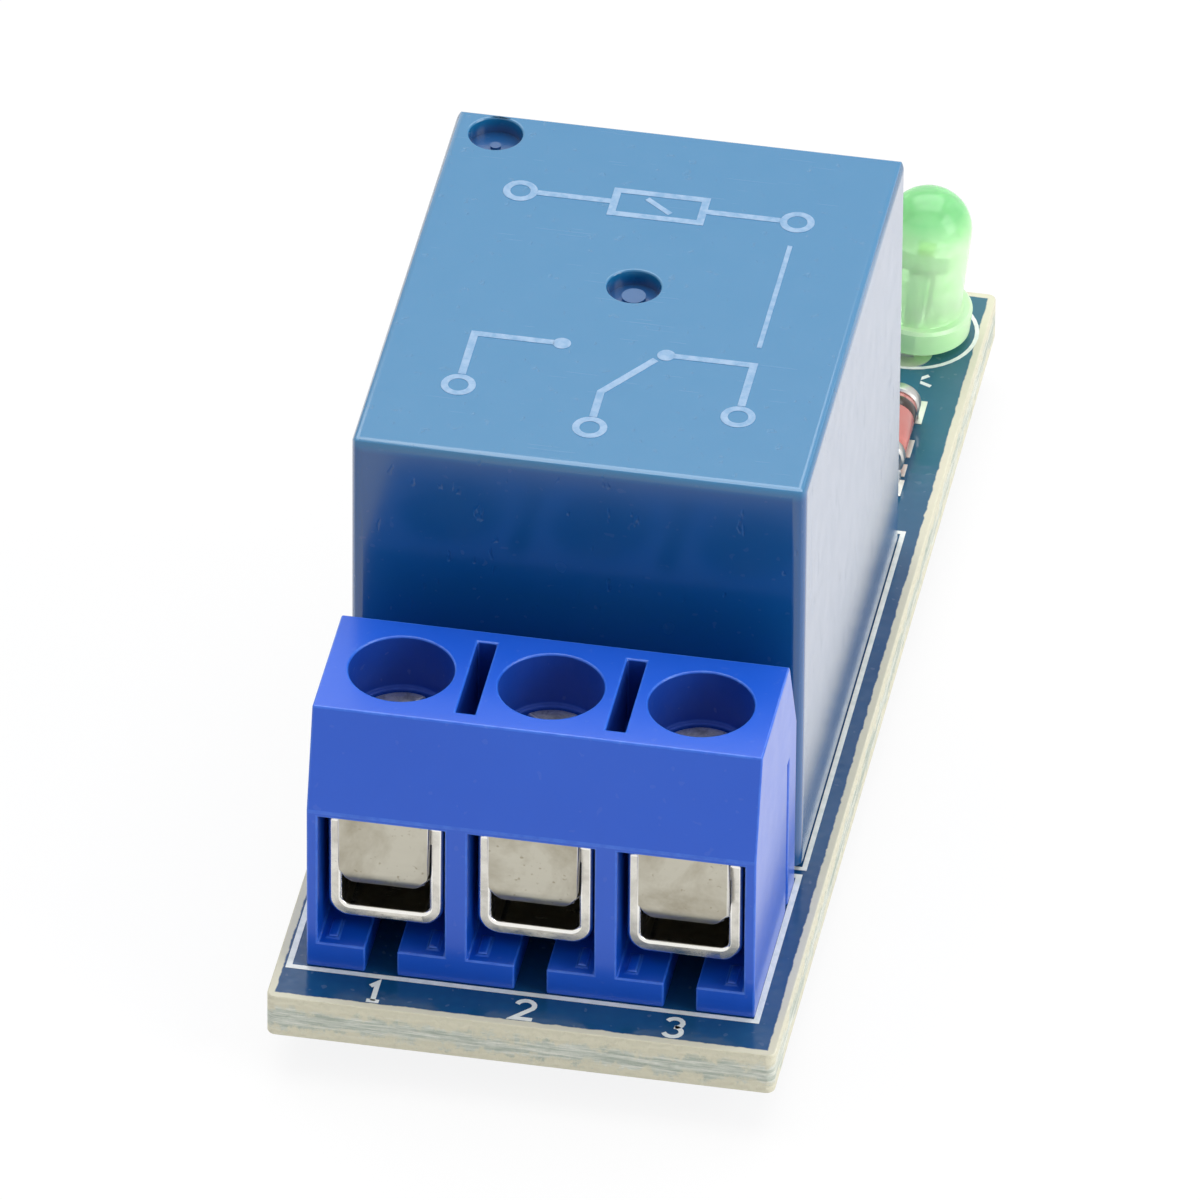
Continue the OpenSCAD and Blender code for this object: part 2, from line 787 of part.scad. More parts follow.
module open_contact_button() {
  color("lightgray") at_relay() button(open_button_z - button_t);
}

module closed_contact_strip() {
  color("peru") at_relay() fixed_contact(1, closed_button_z + button_t);
}

module closed_contact_button() {
  color("lightgray") at_relay() button(closed_button_z);
}

module relay_solder() {
  first = len(poles);
  color("silver") {
    for (k = [0, 1]) {
      solder_joint(lead_holes[first + k]) at_relay() fixed_pin(2 * k - 1);
      solder_joint(lead_holes[first + 2 + k]) coil_pin_shape(2 * k - 1);
    }
    solder_joint(lead_holes[first + 4]) at_relay() common_pin();
  }
}

// Indicator: leads lie in a row along the board, and the lamp leans about them

module lamp_lower_lead(s) {
  w = lamp_lead_w;
  at_lamp() translate([0, s * lamp_lead_y, 0])
    block(w, -w / 2, lead_end - lens_lift, w, lens_lift - lead_end + 0.05);
}

module lamp_lead(s) {
  w = lamp_lead_w;
  lamp_lower_lead(s);
  at_lamp() rotate([0, lens_lean, 0]) {
    translate([0, s * lamp_lead_y, 0]) block(w, -w / 2, 0, w, bridge_z + w);
    translate([0, s * (lamp_lead_y + post_y) / 2, 0])
      block(w, -(lamp_lead_y - post_y + w) / 2, bridge_z, lamp_lead_y - post_y + w, w);
    translate([0, s * post_y, 0]) block(w, -w / 2, bridge_z, w, post_top - bridge_z);
  }
}

module lamp_cup() {
  at_lamp() rotate([0, lens_lean, 0]) block(cup_w, post_y - 0.45, post_top, 0.75, cup_h);
}

module lamp_anode() {
  color("silver") lamp_lead(-1);
}

module lamp_cathode() {
  color("silver") {
    lamp_lead(1);
    lamp_cup();
  }
}

module lamp_chip() {
  color("gold") at_lamp() rotate([0, lens_lean, 0])
    block(chip_w, post_y - chip_w, post_top + cup_h, chip_w, chip_h);
}

module lens_outline() {
  square([flange_r, flange_h]);
  square([lens_r, lens_h - lens_r]);
  intersection() {
    translate([0, lens_h - lens_r]) circle(lens_r);
    square([lens_r, lens_h]);
  }
}

module lamp_lens() {
  flat_y = lens_r + 0.1;
  color("palegreen") difference() {
    at_lamp() rotate([0, lens_lean, 0]) difference() {
      rotate_extrude() lens_outline();
      block(2 * flange_r + over, flat_y, -over, flange_r, flange_h + 2 * over);
    }
    lamp_lead(1);
    lamp_lead(-1);
    lamp_cup();
    lamp_chip();
  }
}

module lamp_solder() {
  first = len(poles) + 5;
  color("silver") for (k = [0, 1]) solder_joint(lead_holes[first + k]) lamp_lower_lead(2 * k - 1);
}

// Small parts

module at_diode() {
  translate([diode_x, diode_y, board_top + diode_r]) rotate([-90, 0, 0]) children();
}

module diode_glass() {
  color("orangered") at_diode() translate([0, 0, cap_l])
    cylinder(r = diode_r - 0.05, h = diode_l - 2 * cap_l);
}

module diode_end_caps() {
  color("silver") at_diode() for (z = [0, diode_l - cap_l])
    translate([0, 0, z]) cylinder(r = diode_r, h = cap_l);
}

module at_transistor() {
  translate([transistor_at[0], transistor_at[1], board_top]) children();
}

module transistor_body() {
  s = transistor_size;
  color("black") at_transistor() across(s[0]) polygon([
    [-s[1] / 2, transistor_lift], [-s[1] / 2 - 0.05, s[2] / 2], [-s[1] / 2 + 0.08, s[2]],
    [s[1] / 2 - 0.08, s[2]], [s[1] / 2 + 0.05, s[2] / 2], [s[1] / 2, transistor_lift]
  ]);
}

// A bent lead that leaves the body's side at half its height and ends flat on the board
module sot_lead_outline() {
  t = sot_lead_t;
  side = transistor_size[1] / 2 + 0.05;
  mid = transistor_size[2] / 2;
  knee = side + 0.22;
  tip = side + sot_reach;
  polygon([
    [side, mid], [knee - t / 2, mid], [knee, t], [knee, 0], [tip, 0], [tip, t],
    [knee + t, t], [knee + t / 2, mid + t / 2], [side, mid + t / 2]
  ]);
}

module transistor_leads() {
  color("silver") at_transistor() {
    for (x = [-0.95, 0.95]) translate([x, 0, 0]) across(sot_lead_w) mirror([1, 0]) sot_lead_outline();
    across(sot_lead_w) sot_lead_outline();
  }
}

module chip_resistor(at) {
  s = resistor_size;
  color("black") translate([at[0], at[1], board_top]) block(s[0], -s[1] / 2, 0, s[1], s[2]);
}

// A wedge of solder on the board against a face at depth d, running forward
module solder_wedge(w, d, h, run) {
  across(w) polygon([[d, 0], [d, h], [d - run, 0]]);
}

// The same wedge at both ends of a part that is centred on x, y
module solder_pair(x, y, half, w, h) {
  translate([x, y, board_top]) {
    solder_wedge(w, -half, h, 0.45);
    mirror([0, 1, 0]) solder_wedge(w, -half, h, 0.45);
  }
}

module surface_solder() {
  sot_tip = transistor_size[1] / 2 + 0.05 + sot_reach;
  half_r = resistor_size[1] / 2;
  color("silver") {
    solder_pair(diode_x, diode_y + diode_l / 2, diode_l / 2, diode_r * 1.8, diode_r);
    for (p = [base_resistor_at, lamp_resistor_at])
      solder_pair(p[0], p[1], half_r, resistor_size[0], fillet_h);
    at_transistor() {
      for (x = [-0.95, 0.95]) translate([x, 0, 0]) solder_wedge(0.8, -sot_tip, sot_lead_t, 0.25);
      mirror([0, 1, 0]) solder_wedge(0.8, -sot_tip, sot_lead_t, 0.25);
    }
  }
}

module header_strip() {
  half = header_pitch / 2;
  notch = 0.45;
  color("black") translate([header_x, header_y, board_top]) difference() {
    linear_extrude(header_strip_h) for (i = header_pins) translate([i * header_pitch, 0])
      polygon([
        [-half, notch - half], [notch - half, -half], [half - notch, -half], [half, notch - half],
        [half, half - notch], [half - notch, half], [notch - half, half], [-half, half - notch]
      ]);
    for (i = header_pins) translate([i * header_pitch, 0, 0])
      block(header_pin_w + 2 * snug, -header_pin_w / 2 - snug, -over, header_pin_w + 2 * snug,
        header_strip_h + 2 * over);
  }
}

// A square pin's face, with both tips tapered
module pin_face() {
  w = header_pin_w / 2;
  tip = 0.5;
  polygon([
    [-w / 2, lead_end], [w / 2, lead_end], [w, lead_end + tip], [w, header_pin_h - tip],
    [w / 2, header_pin_h], [-w / 2, header_pin_h], [-w, header_pin_h - tip], [-w, lead_end + tip]
  ]);
}

module header_pin_shape(i) {
  translate([header_x + i * header_pitch, header_y, board_top]) intersection() {
    across(header_pin_w) pin_face();
    along(-header_pin_w / 2, header_pin_w) pin_face();
  }
}

module header_pin(i) {
  color("gold") header_pin_shape(i);
}

module header_solder() {
  first = len(poles) + 7;
  color("silver") for (k = [0 : len(header_pins) - 1])
    solder_joint(lead_holes[first + k]) header_pin_shape(header_pins[k]);
}

circuit_board();
terminal_housing();
clamp_screw(0);  // clamp_screw_1
clamp_screw(1);  // clamp_screw_2
clamp_screw(2);  // clamp_screw_3
clamp_cage(poles[0]);  // clamp_cage_1
clamp_cage(poles[1]);  // clamp_cage_2
clamp_cage(poles[2]);  // clamp_cage_3
terminal_contact(poles[0]);  // terminal_contact_1
terminal_contact(poles[1]);  // terminal_contact_2
terminal_contact(poles[2]);  // terminal_contact_3
relay_cover();
relay_base();
base_seal();
coil_bobbin();
coil_winding();
coil_core();
coil_pin(-1);  // coil_pin_left
coil_pin(1);  // coil_pin_right
magnet_yoke();
yoke_rivet();
common_strip();
armature();
armature_rivets();
contact_spring();
moving_contact();
open_contact_strip();
open_contact_button();
closed_contact_strip();
closed_contact_button();
lamp_lens();
lamp_anode();
lamp_cathode();
lamp_chip();
diode_glass();
diode_end_caps();
transistor_body();
transistor_leads();
chip_resistor(base_resistor_at);  // base_resistor
chip_resistor(lamp_resistor_at);  // lamp_resistor
header_strip();
header_pin(header_pins[0]);  // header_pin_1
header_pin(header_pins[1]);  // header_pin_2
header_pin(header_pins[2]);  // header_pin_3
terminal_solder();
relay_solder();
lamp_solder();
header_solder();
surface_solder();
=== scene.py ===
import math

import bmesh
import bpy
from mathutils import Matrix, Vector, noise


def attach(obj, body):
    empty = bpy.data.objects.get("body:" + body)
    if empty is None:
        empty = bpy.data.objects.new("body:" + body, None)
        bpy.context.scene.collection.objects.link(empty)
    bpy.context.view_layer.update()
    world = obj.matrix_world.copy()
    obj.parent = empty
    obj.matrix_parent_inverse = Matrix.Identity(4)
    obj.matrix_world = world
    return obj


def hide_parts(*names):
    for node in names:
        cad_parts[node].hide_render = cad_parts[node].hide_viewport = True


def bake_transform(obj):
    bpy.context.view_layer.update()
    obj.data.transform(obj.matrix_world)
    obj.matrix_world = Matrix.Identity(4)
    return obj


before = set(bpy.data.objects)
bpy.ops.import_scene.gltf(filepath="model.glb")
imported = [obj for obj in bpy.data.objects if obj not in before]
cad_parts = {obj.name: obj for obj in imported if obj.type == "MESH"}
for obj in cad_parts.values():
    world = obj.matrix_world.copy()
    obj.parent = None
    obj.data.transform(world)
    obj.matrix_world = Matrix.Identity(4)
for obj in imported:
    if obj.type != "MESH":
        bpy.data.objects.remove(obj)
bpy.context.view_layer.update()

# All lengths below are millimetres in the part's own frame. Pieces are scaled to metres when
# they are finished, and a material's own heights and depths are given as so many MM.
MM = 0.001
SOLID_WELD = 0.0005    # corners nearer than this are one corner, in a CAD solid's mesh
SEAM_WELD = 0.0004     # the same, along a turned shape's seam and axis


def box_of(node):
    """The low and the high corner of a CAD solid, to the micron."""
    corners = [v.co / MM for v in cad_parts[node].data.vertices]
    return [tuple(round(end(c[k] for c in corners), 3) for k in range(3)) for end in (min, max)]


def middle_of(node):
    return tuple(round((low + high) / 2, 3) for low, high in zip(*box_of(node)))


(_, _, BOARD_LOW), (HALF_WIDTH, HALF_LENGTH, BOARD_TOP) = box_of("circuit_board")
(_, TERM_FRONT, _), (_, _, BLOCK_TOP) = box_of("terminal_housing")
(_, RELAY_FRONT, _), (_, _, RELAY_TOP) = box_of("relay_cover")
POLES = [middle_of(f"clamp_screw_{number}")[0] for number in (1, 2, 3)]
SCREW_Y = middle_of("clamp_screw_2")[1]
HEADER = middle_of("header_strip")[:2]
HEADER_PITCH = 2.54
DIODE_X, _, DIODE_Z = middle_of("diode_end_caps")
DIODE_FRONT, DIODE_REAR = (corner[1] for corner in box_of("diode_end_caps"))
LAMP = Vector((6.08, 18.9, 3.4))
LAMP_LEAN = math.radians(6)

# how far the thin layers stand off the board and the relay
PAD_RISE = 0.03
PLUG_RISE = 0.025
TRACK_RISE = 0.018
LOWER_TRACK_RISE = 0.02
PRINT_RISE = 0.014
MARK_RISE = 0.012


# ---------------------------------------------------------------- shapes

def scaled(bm, factor):
    bmesh.ops.scale(bm, vec=(factor,) * 3, verts=bm.verts)


def copy_of(node):
    """The CAD solid's mesh in millimetres, with its loose triangles merged to clean faces."""
    bm = bmesh.new()
    bm.from_mesh(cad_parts[node].data)
    scaled(bm, 1 / MM)
    bmesh.ops.remove_doubles(bm, verts=bm.verts, dist=SOLID_WELD)
    bmesh.ops.dissolve_limit(
        bm, angle_limit=math.radians(0.6), use_dissolve_boundaries=False,
        verts=bm.verts, edges=bm.edges, delimit=set(),
    )
    return bm


def soften(bm, width, segments=2, sharper_than=35, where=None):
    """Rounds the edges that are sharper than an angle, and notes them so that their finish can
    paint them lighter, partly as wear and partly as painted highlight.
    """
    limit = math.radians(sharper_than)
    lightened_edge = bm.faces.layers.float.new("edge")
    edges = [
        e for e in bm.edges
        if len(e.link_faces) == 2 and e.calc_face_angle(0) > limit
        and (where is None or where(e))
    ]
    made = bmesh.ops.bevel(
        bm, geom=edges, offset=width, offset_type="OFFSET", segments=segments,
        profile=0.5, affect="EDGES", clamp_overlap=False, material=-1,
    )
    for face in made["faces"]:
        face[lightened_edge] = 1.0


def block(bm, low, high):
    low, high = Vector(low), Vector(high)
    made = bmesh.ops.create_cube(bm, size=1)["verts"]
    bmesh.ops.scale(bm, vec=high - low, verts=made)
    bmesh.ops.translate(bm, vec=(low + high) / 2, verts=made)
    return made


def lathe(bm, profile, centre=(0, 0, 0), steps=48):
    """Spins (radius, height) points about an upright axis through centre."""
    verts = [bm.verts.new((r, 0, z)) for r, z in profile]
    edges = [bm.edges.new(pair) for pair in zip(verts, verts[1:])]
    bmesh.ops.spin(
        bm, geom=verts + edges, cent=(0, 0, 0), axis=(0, 0, 1), angle=math.tau,
        steps=steps, use_merge=True, use_duplicate=False,
    )
    new = list(reach(verts[0]))
    bmesh.ops.remove_doubles(bm, verts=new, dist=SEAM_WELD)
    new = [v for v in new if v.is_valid]
    bmesh.ops.translate(bm, vec=centre, verts=new)
    return new


def reach(vert):
    """Every vertex joined to this one."""
    seen, todo = {vert}, [vert]
    while todo:
        for e in todo.pop().link_edges:
            for v in e.verts:
                if v not in seen:
                    seen.add(v)
                    todo.append(v)
    return seen


def ribbon(bm, points, width, low, high, closed=False):
    """A flat strip of even width along a path, from height low to high."""
    pts = [Vector(p).to_2d() for p in points]
    count = len(pts)
    sides = []
    for k, p in enumerate(pts):
        before = pts[k - 1] if k or closed else None
        after = pts[(k + 1) % count] if k < count - 1 or closed else None
        a = (p - before).normalized() if before is not None else None
        b = (after - p).normalized() if after is not None else None
        way = ((a or b) + (b or a)).normalized()
        across = Vector((-way.y, way.x))
        flat = a if a is not None else b
        mitre = max(0.35, across.dot(Vector((-flat.y, flat.x))))
        step = across * (width / 2 / mitre)
        sides.append((bm.verts.new((*(p + step), low)), bm.verts.new((*(p - step), low))))
    pairs = list(zip(sides, sides[1:])) + ([(sides[-1], sides[0])] if closed else [])
    faces = [bm.faces.new((a[0], b[0], b[1], a[1])) for a, b in pairs]
    raised = bmesh.ops.extrude_face_region(bm, geom=faces, use_keep_orig=True)["geom"]
    top = [g for g in raised if isinstance(g, bmesh.types.BMVert)]
    bmesh.ops.translate(bm, vec=(0, 0, high - low), verts=top)


def disc(bm, centre, radius, low, high):
    verts = bmesh.ops.create_cone(
        bm, cap_ends=True, segments=28, radius1=radius, radius2=radius, depth=high - low,
    )["verts"]
    bmesh.ops.translate(bm, vec=(centre[0], centre[1], (low + high) / 2), verts=verts)


def ring(bm, centre, inner, outer, low, high, steps=36):
    profile = [(inner, low), (outer, low), (outer, high), (inner, high), (inner, low)]
    lathe(bm, profile, (centre[0], centre[1], 0), steps)


def arc(centre, radius, start, end, steps):
    turns = [math.radians(start + (end - start) * k / steps) for k in range(steps + 1)]
    return [
        (centre[0] + radius * math.cos(turn), centre[1] + radius * math.sin(turn))
        for turn in turns
    ]


def cut_level(bm, level):
    """Cuts every face that crosses a height, so that the mesh can change there."""
    bmesh.ops.bisect_plane(
        bm, geom=bm.verts[:] + bm.edges[:] + bm.faces[:], plane_co=(0, 0, level),
        plane_no=(0, 0, 1),
    )


def paint_faces(bm, choose):
    """Gives each face the material number that choose(face) returns."""
    for face in bm.faces:
        face.material_index = choose(face)


def add_piece(name, bm, materials, body, replaces=(), smooth=40, flat_sided=False):
    """Finishes a mesh as one piece of the scene; smooth is the sharpest angle still shaded."""
    bmesh.ops.recalc_face_normals(bm, faces=bm.faces)
    scaled(bm, MM)
    mesh = bpy.data.meshes.new(name)
    bm.to_mesh(mesh)
    bm.free()
    for m in materials if isinstance(materials, (list, tuple)) else (materials,):
        mesh.materials.append(m)
    mesh.shade_smooth()
    mesh.set_sharp_from_angle(angle=math.radians(smooth))
    piece = bpy.data.objects.new(name, mesh)
    bpy.context.scene.collection.objects.link(piece)
    if flat_sided:
        even = piece.modifiers.new("even_shading", "WEIGHTED_NORMAL")
        even.keep_sharp = True
    if body:
        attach(piece, body)
    if replaces:
        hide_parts(*replaces)
    return piece


def soften_solid(node, name, material, width, segments=2):
    """A CAD solid in a finish of its own, with its edges rounded."""
    bm = copy_of(node)
    soften(bm, width, segments)
    add_piece(name, bm, material, "board", replaces=(node,))


# ---------------------------------------------------------------- shader groups

WHITE = (1, 1, 1, 1)


def group_tree(name, ins, outs):
    tree = bpy.data.node_groups.new(name, "ShaderNodeTree")
    kinds = {"c": "NodeSocketColor", "f": "NodeSocketFloat", "v": "NodeSocketVector"}
    for kind, label, value in ins:
        s = tree.interface.new_socket(label, in_out="INPUT", socket_type=kinds[kind])
        if value is not None:
            s.default_value = value
    for kind, label in outs:
        tree.interface.new_socket(label, in_out="OUTPUT", socket_type=kinds[kind])
    return tree, tree.nodes.new("NodeGroupInput"), tree.nodes.new("NodeGroupOutput")


def add_node(tree, kind, values=None, **settings):
    node = tree.nodes.new(kind)
    for key, value in settings.items():
        setattr(node, key, value)
    for key, value in (values or {}).items():
        if isinstance(value, bpy.types.NodeSocket):
            tree.links.new(value, node.inputs[key])
        else:
            node.inputs[key].default_value = value
    return node


def noise_tex(tree, vector, scale, detail=2.0, roughness=0.5, distortion=0.0):
    values = {
        "Vector": vector, "Scale": scale, "Detail": detail, "Roughness": roughness,
        "Distortion": distortion,
    }
    return add_node(tree, "ShaderNodeTexNoise", values).outputs["Fac"]


def bands(tree, vector, way, scale, distortion, detail, detail_scale=1.0):
    values = {
        "Vector": vector, "Scale": scale, "Distortion": distortion, "Detail": detail,
        "Detail Scale": detail_scale,
    }
    return add_node(tree, "ShaderNodeTexWave", values, bands_direction=way).outputs["Fac"]


def calc(tree, operation, a, b=0.0, clamp=False):
    node = add_node(tree, "ShaderNodeMath", {0: a, 1: b}, operation=operation, use_clamp=clamp)
    return node.outputs[0]


def plus(tree, a, b, clamp=False):
    return calc(tree, "ADD", a, b, clamp)


def minus(tree, a, b):
    return calc(tree, "SUBTRACT", a, b)


def times(tree, a, b):
    return calc(tree, "MULTIPLY", a, b)


def larger(tree, a, b):
    return calc(tree, "MAXIMUM", a, b)


def spread(tree, value, low, high, to_low=0.0, to_high=1.0):
    """Maps a value between two levels to 0 to 1, or to the two given ends."""
    values = {
        "Value": value, "From Min": low, "From Max": high, "To Min": to_low, "To Max": to_high,
    }
    return add_node(tree, "ShaderNodeMapRange", values, clamp=True).outputs["Result"]


def blend_colour(tree, amount, a, b):
    values = {"Factor": amount, 6: a, 7: b}    # a Mix node's two colour inputs
    return add_node(tree, "ShaderNodeMix", values, data_type="RGBA").outputs[2]


def stretched(tree, vector, scale, turn=(0, 0, 0)):
    values = {"Vector": vector, "Scale": scale, "Rotation": turn}
    return add_node(tree, "ShaderNodeMapping", values).outputs["Vector"]


def along(tree, vector, axis):
    return add_node(tree, "ShaderNodeSeparateXYZ", {"Vector": vector}).outputs[axis]


def bump(tree, height, strength, distance):
    values = {"Height": height, "Strength": strength, "Distance": distance}
    return add_node(tree, "ShaderNodeBump", values).outputs["Normal"]


def moulded_group():
    """Moulded plastic: cloudy colour, fine grain, hairline scratches, and edges painted lighter,
    partly as rubbed wear and partly as painted highlight.
    """
    tree, ins, outs = group_tree(
        "moulded_plastic",
        [
            ("v", "Vector", None), ("c", "Colour", WHITE), ("c", "Cloud Colour", WHITE),
            ("c", "Edge Colour", WHITE), ("f", "Cloud Scale", 200.0), ("f", "Cloud Amount", 0.3),
            ("f", "Grain Scale", 9000.0), ("f", "Grain Depth", 0.2), ("f", "Scratches", 0.2),
            ("f", "Edge", 0.0), ("f", "Edge Amount", 0.3), ("f", "Pits", 0.0),
            ("f", "Roughness", 0.4), ("f", "Roughness Spread", 0.1),
        ],
        [("c", "Colour"), ("f", "Roughness"), ("v", "Normal")],
    )
    i = ins.outputs
    cloud = noise_tex(tree, i["Vector"], i["Cloud Scale"], 4.0, 0.6)
    cloud = times(tree, spread(tree, cloud, 0.38, 0.66), i["Cloud Amount"])
    colour = blend_colour(tree, cloud, i["Colour"], i["Cloud Colour"])
    # the rounded edges are painted lighter: partly rubbed wear, partly a painted highlight along
    # them
    edge_wear_and_highlight = noise_tex(tree, i["Vector"], 2600.0, 3.0)
    edge_wear_and_highlight = times(tree, spread(tree, edge_wear_and_highlight, 0.35, 0.7, 0.3, 1.0), i["Edge"])
    edge_wear_and_highlight = times(tree, edge_wear_and_highlight, i["Edge Amount"])
    colour = blend_colour(tree, edge_wear_and_highlight, colour, i["Edge Colour"])
    hair = None
    for turn, size in ((0.35, (350.0, 16000.0, 350.0)), (1.9, (300.0, 13000.0, 300.0))):
        line = noise_tex(tree, stretched(tree, i["Vector"], size, (0, 0.2, turn)), 1.0, 1.0)
        line = spread(tree, line, 0.74, 0.8)
        hair = line if hair is None else larger(tree, hair, line)
    patch = spread(tree, noise_tex(tree, i["Vector"], 260.0, 2.0), 0.48, 0.62)
    hair = times(tree, times(tree, hair, patch), i["Scratches"])
    rough = noise_tex(tree, i["Vector"], 900.0, 3.0)
    rough = times(tree, minus(tree, rough, 0.5), i["Roughness Spread"])
    rough = plus(tree, i["Roughness"], rough)
    rough = plus(tree, rough, times(tree, hair, 0.3), True)
    grain = noise_tex(tree, i["Vector"], i["Grain Scale"], 2.0, 0.6)
    height = times(tree, grain, i["Grain Depth"])
    swell = times(tree, noise_tex(tree, i["Vector"], 380.0, 1.0), 0.6)
    height = plus(tree, height, swell)
    height = minus(tree, height, times(tree, hair, 0.5))
    pits = noise_tex(tree, stretched(tree, i["Vector"], (2300.0, 2300.0, 1000.0)), 1.0, 2.0, 0.6)
    pits = times(tree, spread(tree, pits, 0.67, 0.73), i["Pits"])
    height = minus(tree, height, pits)
    link = tree.links.new
    link(colour, outs.inputs["Colour"])
    link(rough, outs.inputs["Roughness"])
    link(bump(tree, height, 0.35, 0.02 * MM), outs.inputs["Normal"])
    return tree


def plated_group():
    """Plated or bare metal: drawn lines, stains, tarnish spots, and edges painted brighter, partly
    as worn plating and partly as painted highlight.
    """
    tree, ins, outs = group_tree(
        "plated_metal",
        [
            ("v", "Vector", None), ("c", "Colour", WHITE), ("c", "Stain Colour", WHITE),
            ("f", "Stain Scale", 700.0), ("f", "Stain Amount", 0.3),
            ("v", "Drawn Scale", (600, 9000, 600)),
            ("f", "Drawn Depth", 0.3), ("f", "Edge", 0.0), ("f", "Edge Amount", 0.4),
            ("f", "Roughness", 0.3), ("f", "Roughness Spread", 0.2),
        ],
        [("c", "Colour"), ("f", "Roughness"), ("v", "Normal")],
    )
    i = ins.outputs
    stain = noise_tex(tree, i["Vector"], i["Stain Scale"], 5.0, 0.65, 0.4)
    stain = spread(tree, stain, 0.42, 0.68)
    spots = spread(tree, noise_tex(tree, i["Vector"], 5200.0, 1.0), 0.68, 0.78)
    stain = times(tree, larger(tree, stain, spots), i["Stain Amount"])
    colour = blend_colour(tree, stain, i["Colour"], i["Stain Colour"])
    # the rounded edges are painted brighter: partly worn plating, partly a painted highlight along
    # them
    edge_wear_and_glint = times(tree, i["Edge"], i["Edge Amount"])
    colour = blend_colour(tree, edge_wear_and_glint, colour, (0.93, 0.92, 0.88, 1))
    lines = noise_tex(tree, stretched(tree, i["Vector"], i["Drawn Scale"]), 1.0, 3.0, 0.6)
    rough = plus(tree, times(tree, stain, 0.6), minus(tree, lines, 0.5))
    rough = times(tree, rough, i["Roughness Spread"])
    rough = plus(tree, i["Roughness"], rough, True)
    dents = times(tree, noise_tex(tree, i["Vector"], 1500.0, 2.0), 0.8)
    height = plus(tree, times(tree, lines, i["Drawn Depth"]), dents)
    link = tree.links.new
    link(colour, outs.inputs["Colour"])
    link(rough, outs.inputs["Roughness"])
    link(bump(tree, height, 0.35, 0.03 * MM), outs.inputs["Normal"])
    return tree


def speck_group():
    """Thin dust and small pale specks that lie on any surface."""
    tree, ins, outs = group_tree(
        "settled_dust",
        [("v", "Vector", None), ("c", "Colour", WHITE), ("f", "Amount", 0.1)],
        [("c", "Colour")],
    )
    i = ins.outputs
    specks = spread(tree, noise_tex(tree, i["Vector"], 3800.0, 0.0), 0.77, 0.8)
    haze = spread(tree, noise_tex(tree, i["Vector"], 120.0, 5.0, 0.7), 0.5, 0.75, 0.0, 0.25)
    mask = times(tree, larger(tree, specks, haze), i["Amount"])
    colour = blend_colour(tree, mask, i["Colour"], (0.72, 0.74, 0.76, 1))
    tree.links.new(colour, outs.inputs["Colour"])
    return tree


MOULDED = moulded_group()
PLATED = plated_group()
DUST = speck_group()


# ---------------------------------------------------------------- materials

def new_material(name):
    m = bpy.data.materials.new(name)
    m.use_nodes = True
    return m, m.node_tree, m.node_tree.nodes["Principled BSDF"]


def place_group(tree, group, values):
    return add_node(tree, "ShaderNodeGroup", values, node_tree=group)


def object_space(tree):
    return add_node(tree, "ShaderNodeTexCoord").outputs["Object"]


def edge_mark(tree):
    return add_node(tree, "ShaderNodeAttribute", attribute_name="edge").outputs["Fac"]


def rgba(colour):
    return (*colour, 1.0)


def named(values):
    """Sockets by name, from keyword arguments: Cloud_Scale stands for Cloud Scale."""
    return {key.replace("_", " "): value for key, value in values.items()}


def seen_directly(tree):
    """1 for the camera and for what metal and glass show, and 0 for the light on the board."""
    path = add_node(tree, "ShaderNodeLightPath").outputs
    seen = larger(tree, path["Is Camera Ray"], path["Is Glossy Ray"])
    return larger(tree, seen, path["Is Transmission Ray"])


def plastic(name, colour, cloud, edge, rough, dust=0.05, shader=None, **inputs):
    """A dusty moulded plastic; inputs are the moulded_plastic group's own."""
    m, tree, bsdf = new_material(name)
    space = object_space(tree)
    finish = place_group(tree, MOULDED, {
        "Vector": space, "Colour": rgba(colour), "Cloud Colour": rgba(cloud),
        "Edge Colour": rgba(edge), "Edge": edge_mark(tree), "Roughness": rough, **named(inputs),
    })
    dusty = place_group(
        tree, DUST, {"Vector": space, "Colour": finish.outputs["Colour"], "Amount": dust},
    )
    tree.links.new(dusty.outputs["Colour"], bsdf.inputs["Base Color"])
    for socket in ("Roughness", "Normal"):
        tree.links.new(finish.outputs[socket], bsdf.inputs[socket])
    for key, value in (shader or {}).items():
        bsdf.inputs[key].default_value = value
    return m


def metal(name, colour, stain, rough, **inputs):
    """A bare or plated metal; inputs are the plated_metal group's own."""
    m, tree, bsdf = new_material(name)
    finish = place_group(tree, PLATED, {
        "Vector": object_space(tree), "Colour": rgba(colour), "Stain Colour": rgba(stain),
        "Edge": edge_mark(tree), "Roughness": rough, **named(inputs),
    })
    tree.links.new(finish.outputs["Colour"], bsdf.inputs["Base Color"])
    for socket in ("Roughness", "Normal"):
        tree.links.new(finish.outputs[socket], bsdf.inputs[socket])
    bsdf.inputs["Metallic"].default_value = 1.0
    return m


def paint_light_on_top(m, low, high, colour, amount):
    """Paints a plastic paler between two heights: painted light, standing in for the sheen on a
    top face.
    """
    tree, bsdf = m.node_tree, m.node_tree.nodes["Principled BSDF"]
    under = bsdf.inputs["Base Color"].links[0].from_socket
    height = along(tree, object_space(tree), "Z")
    mask = spread(tree, height, low * MM, high * MM, 0.0, amount)
    tree.links.new(blend_colour(tree, mask, under, rgba(colour)), bsdf.inputs["Base Color"])


